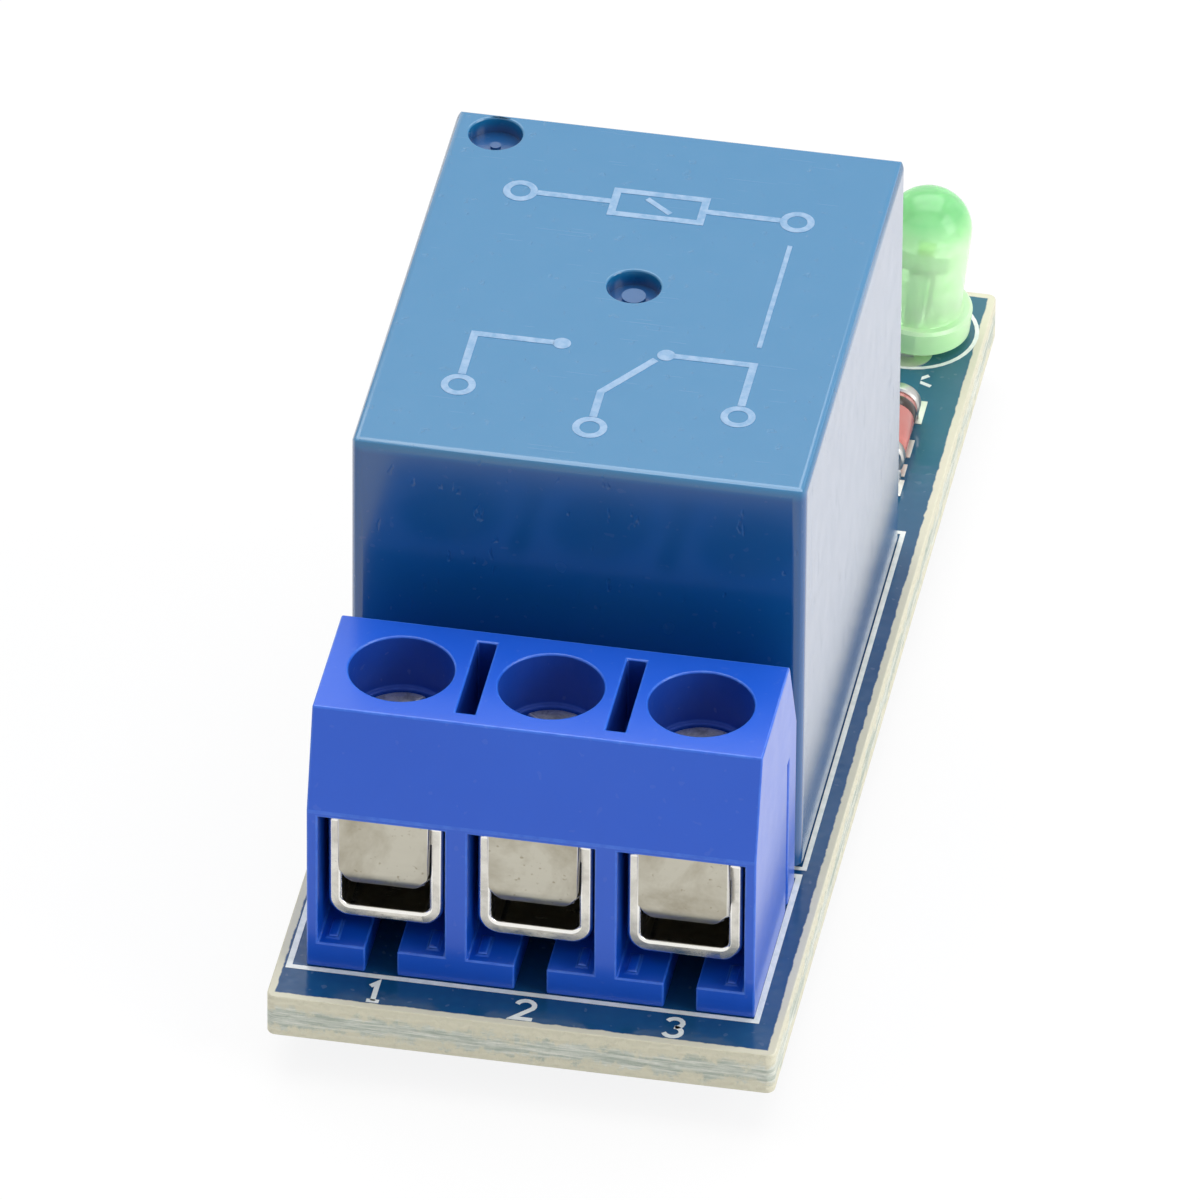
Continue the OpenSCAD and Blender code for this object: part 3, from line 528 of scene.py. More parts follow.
relay_blue = plastic(
    "relay_blue", (0.003, 0.076, 0.250), (0.005, 0.092, 0.282), (0.05, 0.26, 0.56), rough=0.24,
    dust=0.02, shader={"Coat Weight": 1.0, "Coat Roughness": 0.17, "Coat IOR": 1.52, "IOR": 1.42},
    Cloud_Scale=60.0, Cloud_Amount=0.7, Grain_Scale=7000.0, Grain_Depth=0.12,
    Scratches=1.0, Edge_Amount=0.2, Roughness_Spread=0.12, Pits=4.0,
)
# painted light: the relay's top face is painted paler, standing in for the sheen it shows under
# the light from above and behind
paint_light_on_top(relay_blue, 18.35, 18.78, (0.006, 0.176, 0.375), 0.95)
terminal_blue = plastic(
    "terminal_blue", (0.003, 0.086, 0.60), (0.006, 0.104, 0.66), (0.06, 0.22, 0.80), rough=0.36,
    dust=0.02, shader={"IOR": 1.42, "Coat Weight": 0.6, "Coat Roughness": 0.15, "Coat IOR": 1.4},
    Cloud_Scale=90.0, Cloud_Amount=0.6, Grain_Scale=6000.0, Grain_Depth=0.3,
    Scratches=0.3, Edge_Amount=0.5, Roughness_Spread=0.15,
)
# painted shade: a darker blue for the walls down the screw holes and slots, standing in for the
# shade in them
shaded_recess_blue = plastic(
    "shaded_recess_blue", (0.003, 0.048, 0.36), (0.004, 0.060, 0.40), (0.02, 0.10, 0.50), rough=0.5,
    dust=0.04, shader={"IOR": 1.4},
    Cloud_Scale=400.0, Cloud_Amount=0.8, Grain_Scale=5000.0, Grain_Depth=0.8,
)
base_blue = plastic(
    "base_blue", (0.012, 0.05, 0.14), (0.02, 0.07, 0.18), (0.08, 0.14, 0.25), rough=0.5,
    Grain_Depth=0.6,
)
sealing_resin = plastic(
    "sealing_resin", (0.42, 0.36, 0.24), (0.30, 0.25, 0.16), (0.5, 0.45, 0.32), rough=0.22,
    Cloud_Scale=500.0, Cloud_Amount=0.8, Grain_Depth=0.1,
)
bobbin_white = plastic(
    "bobbin_white", (0.72, 0.70, 0.64), (0.62, 0.60, 0.52), (0.8, 0.79, 0.75), rough=0.45,
    Cloud_Scale=300.0, Grain_Depth=0.5,
)
black_plastic = plastic(
    "black_plastic", (0.012, 0.012, 0.014), (0.022, 0.022, 0.024), (0.07, 0.07, 0.075), rough=0.45,
    dust=0.12, Cloud_Scale=500.0, Cloud_Amount=0.6, Grain_Depth=1.0, Edge_Amount=0.6,
)
resistor_black = plastic(
    "resistor_black", (0.010, 0.010, 0.012), (0.03, 0.03, 0.034), (0.10, 0.10, 0.10), rough=0.3,
    dust=0.1, Cloud_Scale=1800.0, Cloud_Amount=0.7, Grain_Scale=12000.0, Grain_Depth=0.8,
)
resistor_ceramic = plastic(
    "resistor_ceramic", (0.62, 0.61, 0.58), (0.5, 0.49, 0.46), (0.75, 0.74, 0.72), rough=0.55,
    Cloud_Scale=2500.0, Cloud_Amount=0.7, Grain_Depth=0.9,
)
board_ink = plastic(
    "board_ink", (0.80, 0.83, 0.80), (0.62, 0.68, 0.66), (0.80, 0.83, 0.80), rough=0.5,
    dust=0.0, Cloud_Scale=2600.0, Cloud_Amount=0.8, Grain_Scale=14000.0, Grain_Depth=0.8,
)
relay_ink = plastic(
    "relay_ink", (0.28, 0.42, 0.60), (0.14, 0.30, 0.50), (0.30, 0.45, 0.62), rough=0.42,
    dust=0.0, Cloud_Scale=3600.0, Cloud_Amount=0.9, Grain_Scale=12000.0, Grain_Depth=0.8,
)
diode_band = plastic(
    "diode_band", (0.018, 0.012, 0.010), (0.05, 0.025, 0.02), (0.08, 0.05, 0.04), rough=0.2,
    Cloud_Scale=3000.0, Cloud_Amount=0.7, Grain_Depth=0.2,
)

contact_tin = metal(
    "contact_tin", (0.54, 0.515, 0.43), (0.32, 0.28, 0.20), rough=0.34,
    Stain_Scale=360.0, Stain_Amount=0.75, Drawn_Scale=(900, 900, 7000),
    Drawn_Depth=0.15, Edge_Amount=0.6, Roughness_Spread=0.25,
)
cage_nickel = metal(
    "cage_nickel", (0.72, 0.70, 0.64), (0.30, 0.27, 0.22), rough=0.18,
    Stain_Scale=900.0, Stain_Amount=0.4, Drawn_Scale=(700, 6000, 700),
    Drawn_Depth=0.4, Edge_Amount=0.85, Roughness_Spread=0.3,
)
screw_zinc = metal(
    "screw_zinc", (0.74, 0.74, 0.73), (0.16, 0.16, 0.18), rough=0.36,
    Stain_Scale=1400.0, Stain_Amount=0.9, Drawn_Scale=(3000, 3000, 3000),
    Drawn_Depth=0.5, Edge_Amount=0.7,
)
lead_tin = metal(
    "lead_tin", (0.62, 0.62, 0.60), (0.38, 0.37, 0.35), rough=0.3,
    Stain_Scale=1200.0, Stain_Amount=0.35, Drawn_Scale=(5000, 5000, 700),
)
solder_tin = metal(
    "solder_tin", (0.66, 0.67, 0.68), (0.40, 0.40, 0.40), rough=0.2,
    Stain_Scale=900.0, Stain_Amount=0.35, Drawn_Scale=(900, 900, 900),
    Drawn_Depth=0.8,
)
pad_tin = metal(
    "pad_tin", (0.74, 0.73, 0.68), (0.52, 0.51, 0.46), rough=0.45,
    Stain_Scale=1500.0, Stain_Amount=0.4, Drawn_Scale=(1500, 1500, 1500),
)
pin_gold = metal(
    "pin_gold", (0.80, 0.58, 0.24), (0.52, 0.36, 0.14), rough=0.24,
    Stain_Scale=700.0, Stain_Amount=0.3, Drawn_Scale=(8000, 8000, 500),
)
magnet_iron = metal(
    "magnet_iron", (0.50, 0.50, 0.51), (0.30, 0.29, 0.28), rough=0.34,
    Stain_Scale=500.0, Stain_Amount=0.4,
)
rivet_steel = metal(
    "rivet_steel", (0.60, 0.60, 0.61), (0.36, 0.35, 0.34), rough=0.3, Stain_Scale=1400.0,
)
spring_bronze = metal(
    "spring_bronze", (0.72, 0.42, 0.20), (0.45, 0.25, 0.12), rough=0.28,
    Stain_Scale=600.0, Stain_Amount=0.35, Drawn_Scale=(9000, 500, 500),
)
contact_silver = metal(
    "contact_silver", (0.80, 0.79, 0.76), (0.45, 0.42, 0.38), rough=0.25,
    Stain_Scale=1800.0,
)


def wound_copper():
    """Enamelled wire wound in close turns up the bobbin."""
    m, tree, bsdf = new_material("wound_copper")
    space = object_space(tree)
    turns = bands(tree, space, "Z", 3300.0, 0.25, 1.0)
    patch = spread(tree, noise_tex(tree, space, 700.0, 3.0), 0.35, 0.7)
    colour = blend_colour(tree, turns, (0.16, 0.035, 0.012, 1), (0.62, 0.20, 0.07, 1))
    colour = blend_colour(tree, times(tree, patch, 0.5), colour, (0.42, 0.10, 0.035, 1))
    tree.links.new(colour, bsdf.inputs["Base Color"])
    tree.links.new(spread(tree, patch, 0, 1, 0.2, 0.38), bsdf.inputs["Roughness"])
    tree.links.new(bump(tree, turns, 0.8, 0.06 * MM), bsdf.inputs["Normal"])
    bsdf.inputs["Metallic"].default_value = 0.6
    bsdf.inputs["Coat Weight"].default_value = 0.6
    return m


def solder_mask(name, colour, pale):
    """Glossy solder mask over woven laminate; the weave shows faintly through it."""
    m, tree, bsdf = new_material(name)
    space = object_space(tree)
    warp, weft = (bands(tree, space, way, 620.0, 0.4, 2.0, 3.0) for way in ("X", "Y"))
    weave = times(tree, warp, weft)
    cloud = spread(tree, noise_tex(tree, space, 140.0, 5.0, 0.6), 0.35, 0.7)
    shade = blend_colour(tree, times(tree, cloud, 0.6), rgba(colour), rgba(pale))
    shade = blend_colour(tree, times(tree, weave, 0.22), shade, rgba(pale))
    x, y = along(tree, space, "X"), along(tree, space, "Y")
    # painted reflection: the mask turns teal towards the board's rear, standing in for the sheen
    # it shows there
    painted_sheen_to_rear = spread(tree, y, 2 * MM, 19 * MM, 0.0, 0.75)
    shade = blend_colour(tree, painted_sheen_to_rear, shade, (0.030, 0.150, 0.190, 1))
    dusty = place_group(tree, DUST, {"Vector": space, "Colour": shade, "Amount": 0.05})
    # the mask stops a little short of the sawn edge, and bare laminate shows there
    ragged = times(tree, noise_tex(tree, space, 2400.0, 3.0), 0.14 * MM)
    bare = 0.27
    side = minus(tree, calc(tree, "ABSOLUTE", x), (HALF_WIDTH - bare) * MM)
    end = minus(tree, calc(tree, "ABSOLUTE", y), (HALF_LENGTH - bare) * MM)
    rim = plus(tree, larger(tree, side, end), ragged)
    rim = spread(tree, rim, 0.06 * MM, 0.1 * MM)
    shade = blend_colour(tree, rim, dusty.outputs["Colour"], (0.62, 0.60, 0.47, 1))
    tree.links.new(shade, bsdf.inputs["Base Color"])
    rough = spread(tree, noise_tex(tree, space, 1100.0, 4.0), 0.3, 0.7, 0.10, 0.22)
    rough = plus(tree, rough, times(tree, rim, 0.45))
    tree.links.new(rough, bsdf.inputs["Roughness"])
    grain = noise_tex(tree, space, 2600.0, 3.0)
    height = plus(tree, times(tree, weave, 0.35), grain)
    tree.links.new(bump(tree, height, 0.3, 0.02 * MM), bsdf.inputs["Normal"])
    bsdf.inputs["IOR"].default_value = 1.5
    return m


def sawn_laminate():
    """The board's sawn edge: stacked glass layers in pale resin, with ragged fibres."""
    m, tree, bsdf = new_material("sawn_laminate")
    space = object_space(tree)
    layers = bands(tree, space, "Z", 900.0, 6.0, 4.0, 3.0)
    fibres = noise_tex(tree, stretched(tree, space, (420.0, 420.0, 7000.0)), 1.0, 5.0, 0.75)
    tufts = spread(tree, noise_tex(tree, space, 1500.0, 5.0, 0.7), 0.42, 0.66)
    cream, shaded_cream = (0.74, 0.71, 0.55, 1), (0.60, 0.58, 0.44, 1)
    colour = blend_colour(tree, times(tree, layers, 0.3), cream, shaded_cream)
    wander = times(tree, minus(tree, tufts, 0.5), 0.5 * MM)
    level = plus(tree, along(tree, space, "Z"), wander)
    core = spread(tree, level, (BOARD_LOW + 0.2) * MM, (BOARD_LOW + 0.45) * MM)
    crust = spread(tree, level, (BOARD_TOP - 0.75) * MM, (BOARD_TOP - 0.45) * MM, 1.0, 0.0)
    core = times(tree, core, crust)
    grey_green, bright_fibre = (0.34, 0.41, 0.35, 1), (0.80, 0.82, 0.75, 1)
    grey = blend_colour(tree, spread(tree, fibres, 0.40, 0.62), grey_green, bright_fibre)
    colour = blend_colour(tree, times(tree, core, 0.85), colour, grey)
    loose = spread(tree, fibres, 0.58, 0.74, 0.0, 0.7)
    colour = blend_colour(tree, loose, colour, (0.82, 0.81, 0.72, 1))
    tree.links.new(colour, bsdf.inputs["Base Color"])
    tree.links.new(spread(tree, fibres, 0.2, 0.8, 0.45, 0.8), bsdf.inputs["Roughness"])
    height = plus(tree, times(tree, layers, 0.5), fibres)
    tree.links.new(bump(tree, height, 0.8, 0.08 * MM), bsdf.inputs["Normal"])
    return m


def clouded_resin(name, colour, pale, transmission, **shader):
    """Tinted resin or glass with fine flow clouds in it."""
    m, tree, bsdf = new_material(name)
    space = object_space(tree)
    cloud = noise_tex(tree, stretched(tree, space, (500.0, 500.0, 220.0)), 1.0, 4.0)
    cloud = spread(tree, cloud, 0.35, 0.7)
    tree.links.new(blend_colour(tree, cloud, rgba(colour), rgba(pale)), bsdf.inputs["Base Color"])
    fine = noise_tex(tree, space, 1600.0, 3.0)
    tree.links.new(spread(tree, fine, 0.3, 0.7, 0.08, 0.2), bsdf.inputs["Roughness"])
    tree.links.new(bump(tree, fine, 0.12, 0.03 * MM), bsdf.inputs["Normal"])
    bsdf.inputs["Transmission Weight"].default_value = transmission
    for key, value in named(shader).items():
        bsdf.inputs[key].default_value = value
    return m


def lamp_resin():
    """Milky green resin: deep green in the dome, and below it a painted glow that stands in for
    light through the resin, though the lamp is not lit.
    """
    # the emission strength here sets the painted glow
    m = clouded_resin(
        "lamp_green", (0.66, 1.0, 0.60), (0.78, 1.0, 0.72), 0.5, IOR=1.45, Subsurface_Weight=0.6,
        Subsurface_Radius=(0.7, 1.0, 0.7), Subsurface_Scale=0.0010, Emission_Strength=0.25,
    )
    tree, bsdf = m.node_tree, m.node_tree.nodes["Principled BSDF"]
    clouded = bsdf.inputs["Base Color"].links[0].from_socket
    height = along(tree, object_space(tree), "Z")
    dome = spread(tree, height, (LAMP.z + 3.9) * MM, (LAMP.z + 5.0) * MM)
    deep = blend_colour(tree, times(tree, dome, 0.95), clouded, (0.26, 0.70, 0.32, 1))
    tree.links.new(deep, bsdf.inputs["Base Color"])
    # painted light: an emitted glow, strongest low in the body, stands in for light coming through
    # the unlit lamp
    painted_glow_band = spread(tree, height, (LAMP.z + 0.2) * MM, (LAMP.z + 2.6) * MM, 0.35, 1.0)
    below = minus(tree, 1.0, times(tree, dome, 0.95))
    painted_glow_band = times(tree, painted_glow_band, below)
    glow = blend_colour(tree, painted_glow_band, (0.02, 0.10, 0.02, 1), (0.48, 0.86, 0.40, 1))
    tree.links.new(glow, bsdf.inputs["Emission Color"])
    return m


copper_winding = wound_copper()
mask_blue = solder_mask("mask_blue", (0.004, 0.050, 0.150), (0.010, 0.085, 0.21))
mask_over_copper = solder_mask("mask_over_copper", (0.008, 0.085, 0.200), (0.018, 0.115, 0.26))
laminate = sawn_laminate()
lamp_green = lamp_resin()
diode_amber = clouded_resin("diode_amber", (0.76, 0.20, 0.17), (0.86, 0.40, 0.36), 0.45, IOR=1.52)
lamp_die = clouded_resin("lamp_die", (0.75, 0.78, 0.20), (0.9, 0.9, 0.5), 0.0, IOR=1.6)


# ---------------------------------------------------------------- circuit board

HOLES = {  # x, y, hole radius, pad radius
    "pole": [(x, -13.1, 0.59, 1.15) for x in POLES],
    "switch": [(x, -8.15, 0.65, 1.25) for x in (-6.05, 6.05)],
    "coil": [(x, 4.11, 0.42, 0.95) for x in (-6.05, 6.05)],
    "common": [(0.0, 5.95, 0.66, 1.2)],
    "lamp": [(LAMP.x, y, 0.45, 0.85) for y in (17.63, 20.17)],
    "header": [(HEADER[0] + k * HEADER_PITCH, HEADER[1], 0.55, 0.95) for k in (-1, 0, 1)],
}
PIN_HOLES = [hole for group in HOLES.values() for hole in group]
BASE_RESISTOR = (0.6, 10.95)
LAMP_RESISTOR = (2.78, 19.0)
SURFACE_PADS = [  # x, y, width, length
    (DIODE_X, 9.95, 1.6, 0.9), (DIODE_X, 14.3, 1.6, 1.3),
    (DIODE_X, 10.95, 1.5, 0.7), (DIODE_X, 12.2, 1.5, 1.0),
    *[(x, y + end * 1.2, 1.4, 0.9) for x, y in (BASE_RESISTOR, LAMP_RESISTOR) for end in (-1, 1)],
    (-4.35, 9.7, 0.9, 1.0), (-2.45, 9.7, 0.9, 1.0), (-3.4, 12.2, 0.9, 1.0),
]


def build_board():
    """The laminate: mask on its faces, bare sawn sides, and tinned walls in its holes."""
    bm = copy_of("circuit_board")
    rim, skin = 0.9, 0.2

    def outer_edge(edge):
        ends = [v.co for v in edge.verts]
        at_rim = all(
            abs(p.x) > HALF_WIDTH - rim or abs(p.y) > HALF_LENGTH - rim for p in ends
        )
        on_top = all(p.z > BOARD_TOP - skin for p in ends)
        below = all(p.z < BOARD_LOW + skin for p in ends)
        return at_rim and (on_top or below) and not any(near_hole(p) for p in ends)

    def material_number_of(face):
        if abs(face.normal.z) > 0.9:
            return 0
        return 2 if near_hole(face.calc_center_median()) else 1

    soften(bm, 0.05, where=outer_edge)
    paint_faces(bm, material_number_of)
    add_piece(
        "board_panel", bm, (mask_blue, laminate, pad_tin), "board",
        replaces=("circuit_board",), flat_sided=True,
    )


def near_hole(point):
    return any(math.hypot(point.x - x, point.y - y) < r + 0.05 for x, y, r, _ in PIN_HOLES)


def build_pads():
    """Pads round every hole and under the small parts, and solder up the holes that show."""
    bm = bmesh.new()
    top, plug_depth = BOARD_TOP + PAD_RISE, 0.1
    for x, y, hole, pad in PIN_HOLES:
        ring(bm, (x, y), hole, pad, BOARD_TOP, top)
        ring(bm, (x, y), hole, pad, BOARD_LOW - PAD_RISE, BOARD_LOW)
    for x, y, hole, _ in HOLES["lamp"] + HOLES["header"]:
        disc(bm, (x, y), hole + 0.03, BOARD_TOP - plug_depth, BOARD_TOP + PLUG_RISE)
    for x, y, width, length in SURFACE_PADS:
        corner = Vector((width / 2, length / 2, 0))
        block(bm, Vector((x, y, BOARD_TOP)) - corner, Vector((x, y, top)) + corner)
    add_piece("board_pads", bm, pad_tin, "board")


def build_tracks():
    """Copper under the mask: thin raised strips on both faces of the board."""
    bm = bmesh.new()

    def hole(kind, number=0):
        return HOLES[kind][number][:2]

    routes_below = [
        ([hole("pole", 0), (-6.05, -11.0), hole("switch", 0)], 2.0),
        ([hole("pole", 2), (6.05, -11.0), hole("switch", 1)], 2.0),
        ([hole("pole", 1), hole("common")], 2.4),
        ([hole("coil", 0), (-6.05, 9.0), (-5.14, 10.5), hole("header", 0)], 0.9),
        ([hole("coil", 1), (6.05, 8.0), (4.2, 9.8), (4.2, 14.5), (6.28, 16.4), hole("lamp", 0)],
         0.6),
        ([hole("header", 1), (-2.6, 18.6), (2.0, 18.6)], 0.5),
        ([hole("header", 2), (-0.06, 13.6), (2.2, 12.0), (2.2, 9.4)], 0.5),
    ]
    for path, width in routes_below:
        ribbon(bm, path, width, BOARD_LOW - LOWER_TRACK_RISE, BOARD_LOW)
    routes_above = [
        ([(DIODE_X, 15.1), (DIODE_X, 16.6)], 0.7),
        ([(0.6, 12.6), (0.6, 13.4), (-0.06, 14.6)], 0.45),
        ([(0.6, 9.3), (-0.6, 8.6), (-2.45, 8.6), (-2.45, 9.2)], 0.4),
        ([(-4.35, 9.2), (-4.35, 8.3), (-7.2, 7.8)], 0.5),
        ([(-3.4, 12.7), (-3.4, 13.4), (-5.14, 14.6)], 0.5),
        ([(2.78, 20.65), (5.3, 20.65)], 0.45),
        ([(2.78, 17.35), (2.78, 16.6), (0.9, 15.6)], 0.45),
    ]
    for path, width in routes_above:
        ribbon(bm, path, width, BOARD_TOP, BOARD_TOP + TRACK_RISE)
    add_piece("board_tracks", bm, mask_over_copper, "board")


DIGITS = {  # strokes in a box one wide and 1.6 high
    "1": [[(0.2, 1.25), (0.5, 1.6), (0.5, 0.0)], [(0.2, 0.0), (0.8, 0.0)]],
    "2": [[*arc((0.5, 1.15), 0.42, 170, -30, 9), (0.05, 0.0), (0.98, 0.0)]],
    "3": [[*arc((0.48, 1.18), 0.38, 160, -80, 9)], [*arc((0.48, 0.42), 0.42, 85, -160, 11)]],
}


def build_print():
    """The board's white print: part outlines, pole numbers and small marks."""
    bm = bmesh.new()
    low, high = BOARD_TOP, BOARD_TOP + PRINT_RISE

    def outline(x0, y0, x1, y1, width):
        ribbon(bm, [(x0, y0), (x1, y0), (x1, y1), (x0, y1)], width, low, high, closed=True)

    outline(-8.06, -19.8, 7.6, -11.84, 0.2)
    outline(-7.72, -11.42, 7.7, 7.5, 0.17)
    x, y = HEADER
    outline(x - 4.05, y - 1.5, x + 4.05, y + 1.5, 0.16)
    ribbon(bm, [(x - 3.6, y + 2.0), (x - 1.5, y + 2.0)], 0.16, low, high)
    for number, x in zip("123", POLES):
        for stroke in DIGITS[number]:
            path = [(x - 0.35 + u * 0.7, -21.12 + v * 0.62) for u, v in stroke]
            ribbon(bm, path, 0.17, low, high)
    ring(bm, (LAMP.x, LAMP.y), 2.08, 2.22, low, high, 40)
    ribbon(bm, [(6.28, 16.6), (6.36, 16.05)], 0.15, low, high)
    ribbon(bm, [(7.02, 16.45), (6.62, 16.1), (7.18, 15.86)], 0.14, low, high)
    outline(-4.95, 8.95, -1.85, 12.85, 0.13)
    add_piece("board_print", bm, board_ink, "board")


build_board()
build_pads()
build_tracks()
build_print()


# ---------------------------------------------------------------- terminal block

def build_housing():
    """The moulded block; the walls of its screw holes and slots are painted a darker blue, as
    painted shade down the recesses.
    """
    bm = copy_of("terminal_housing")
    soften(bm, 0.07, sharper_than=14)
    slots = [(a + b) / 2 for a, b in zip(POLES, POLES[1:])]
    hole_reach, slot_half_width, slot_reach = 1.8, 0.4, 2.2
    deepest, lip = 9.4, 0.12

    # faces down the screw holes and slots take the painted shade material
    def material_number_of(face):
        c = face.calc_center_median()
        down_hole = any(math.hypot(c.x - x, c.y - SCREW_Y) < hole_reach for x in POLES)
        in_slot = (
            any(abs(c.x - x) < slot_half_width for x in slots)
            and abs(c.y - SCREW_Y) < slot_reach
        )
        return int((down_hole or in_slot) and deepest < c.z < BLOCK_TOP - lip)

    paint_faces(bm, material_number_of)
    add_piece(
        "terminal_body", bm, (terminal_blue, shaded_recess_blue), "board",
        replaces=("terminal_housing",), flat_sided=True,
    )


def build_contact(number, x):
    """One tinned strip, whose front plate narrows towards its lower end."""
    bm = copy_of(f"terminal_contact_{number}")
    cut_from, plate_half, taper, bend_rear = 6.95, 1.525, 0.85, -18.76
    cut_level(bm, cut_from)
    for vert in bm.verts:
        if vert.co.y < bend_rear and vert.co.z < cut_from:
            half = plate_half - taper * (cut_from - vert.co.z)
            vert.co.x = x + max(-half, min(half, vert.co.x - x))
    soften(bm, 0.05)
    add_piece(
        f"contact_strip_{number}", bm, contact_tin, "board",
        replaces=(f"terminal_contact_{number}",), flat_sided=True,
    )


def build_cage(number):
    """One bent loop of strip, whose front is a little uneven."""
    bm = copy_of(f"clamp_cage_{number}")
    soften(bm, 0.12, 3)
    front, unevenness, closeness = TERM_FRONT + 1.1, 0.05, 2.3
    for vert in bm.verts:
        if vert.co.y < front:
            vert.co.y += noise.noise(vert.co * closeness) * unevenness
    add_piece(
        f"cage_{number}_loop", bm, cage_nickel, f"cage_{number}",
        replaces=(f"clamp_cage_{number}",), flat_sided=True,
    )


def build_screw(number, x):
    """One clamp screw, with a helical thread that stands just proud of its shank."""
    bm = copy_of(f"clamp_screw_{number}")
    soften(bm, 0.09, sharper_than=50)
    core, crest, pitch, turns, start = 1.17, 1.255, 0.45, 5, 7.3
    ridge = ((core, 0.0), (crest, 0.32), (core, 0.64))    # radius, and share of the pitch
    profile = [bm.verts.new((radius, 0, start + pitch * rise)) for radius, rise in ridge]
    edges = [bm.edges.new(pair) for pair in zip(profile, profile[1:])]
    steps = 24 * turns
    bmesh.ops.spin(
        bm, geom=profile + edges, cent=(0, 0, 0), axis=(0, 0, 1), angle=math.tau * turns,
        steps=steps, dvec=(0, 0, pitch * turns / steps), use_duplicate=False, use_merge=False,
    )
    thread = list(reach(profile[0]))
    bmesh.ops.translate(bm, vec=(x, SCREW_Y, 0), verts=thread)
    add_piece(
        f"screw_{number}_threaded", bm, screw_zinc, f"screw_{number}",
        replaces=(f"clamp_screw_{number}",), flat_sided=True,
    )


build_housing()
for number, x in enumerate(POLES, 1):
    build_contact(number, x)
    build_cage(number)
    build_screw(number, x)


# ---------------------------------------------------------------- relay

def build_cover():
    bm = copy_of("relay_cover")

    def at_top(edge):
        return all(v.co.z > RELAY_TOP - 0.05 for v in edge.verts)

    soften(bm, 0.08, 3, where=at_top)
    add_piece(
        "relay_case", bm, relay_blue, "board", replaces=("relay_cover",),
        flat_sided=True,
    )


def build_relay_marks():
    """A plain pin and contact diagram, printed on the relay's top."""
    bm = bmesh.new()
    low, high = RELAY_TOP, RELAY_TOP + MARK_RISE
    outer, switch, coil = 4.68, 6.6, 14.75    # the pins' column, and two rows behind the front

    def line(*points, closed=False, width=0.26):
        ribbon(bm, [(x, RELAY_FRONT + v) for x, v in points], width, low, high, closed)

    def pin(x, v):
        ring(bm, (x, RELAY_FRONT + v), 0.34, 0.58, low, high, 28)

    line((-1.5, 14.1), (1.5, 14.1), (1.5, 15.4), (-1.5, 15.4), closed=True)
    for side in (-1, 1):
        line((side * 1.63, coil), (side * 4.1, coil))
        pin(side * outer, coil)
        line((side * outer, 4.3), (side * outer, switch), (side * 2.0, switch))
        pin(side * outer, 3.7)
        disc(bm, (side * 1.75, RELAY_FRONT + switch), 0.3, low, high)
    line((-0.45, 15.1), (0.45, 14.4), width=0.2)
    pin(0.0, 2.2)
    line((0.0, 2.8), (0.0, 4.2), (1.45, 6.3))
    line((outer, 7.6), (outer, 13.4), width=0.16)
    add_piece("relay_marks", bm, relay_ink, "board")


def build_spring():
    """The contact spring, cut across in rows where it bends, between leaving its rivet and rising
    to the armature.
    """
    bm = copy_of("contact_spring")
    held, free, bends = 10.9, 14.2, 10
    for k in range(bends + 1):
        cut_level(bm, held + (free - held) * k / bends)
    blade = add_piece(
        "spring_blade", bm, spring_bronze, None, replaces=("contact_spring",),
    )
    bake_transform(blade)


build_cover()
build_relay_marks()
build_spring()


# ---------------------------------------------------------------- lamp

def build_lamp():
    """The lamp's lens: a dome on a flange that has a flat on its cathode side."""
    bm = bmesh.new()
    body, flange, height, flat = 1.5, 1.9, 5.6, 1.6
    lathe(bm, [
        (0, 0), (flange - 0.12, 0), (flange, 0.12), (flange, 0.9), (flange - 0.1, 1.0),
        (body + 0.08, 1.0), (body, 1.1), (body, 2.4),
        *arc((0, height - body), body, 0, 90, 12)[:-1], (0, height),
    ], steps=64)
    cut = bmesh.ops.bisect_plane(
        bm, geom=bm.verts[:] + bm.edges[:] + bm.faces[:], plane_co=(0, flat, 0),
        plane_no=(0, 1, 0), clear_outer=True,
    )
    rim = [g for g in cut["geom_cut"] if isinstance(g, bmesh.types.BMEdge)]
    bmesh.ops.edgeloop_fill(bm, edges=rim)
    place = Matrix.Translation(LAMP) @ Matrix.Rotation(LAMP_LEAN, 4, "Y")
    bmesh.ops.transform(bm, matrix=place, verts=bm.verts)
    add_piece("lamp_dome", bm, lamp_green, "board", replaces=("lamp_lens",))


build_lamp()


# ---------------------------------------------------------------- small parts

def build_diode():
    """A glass tube between two tinned caps, with a dark band near its rear cap."""
    cap = 0.45
    rear = DIODE_REAR - DIODE_FRONT    # the caps' ends, along the tube from its front
    glass_rear = rear - cap
    place = Vector((DIODE_X, DIODE_FRONT, DIODE_Z))
    along_y = Matrix.Translation(place) @ Matrix.Rotation(math.radians(-90), 4, "X")

    def turn_piece(name, material, slot, *profiles, replaces=()):
        bm = bmesh.new()
        for profile in profiles:
            lathe(bm, profile, steps=40)
        bmesh.ops.transform(bm, matrix=along_y, verts=bm.verts)
        add_piece(name, bm, material, "board", replaces=replaces)

    turn_piece("diode_tube", diode_amber, "diode_glass", [
        (0, cap), (0.62, cap), (0.70, cap + 0.1), (0.71, rear / 2), (0.70, glass_rear - 0.1),
        (0.62, glass_rear), (0, glass_rear),
    ], replaces=("diode_glass",))
    turn_piece("diode_stripe", diode_band, "diode_glass", [
        (0.70, glass_rear - 0.75), (0.722, glass_rear - 0.7), (0.722, glass_rear - 0.3),
        (0.70, glass_rear - 0.25), (0.66, glass_rear - 0.5), (0.70, glass_rear - 0.75),
    ])
    turn_piece("diode_caps", lead_tin, "lamp_steel", *[
        [
            (0, low), (0.68, low), (0.75, low + 0.07), (0.75, low + cap - 0.05),
            (0.71, low + cap), (0, low + cap),
        ]
        for low in (0.0, glass_rear)
    ], replaces=("diode_end_caps",))


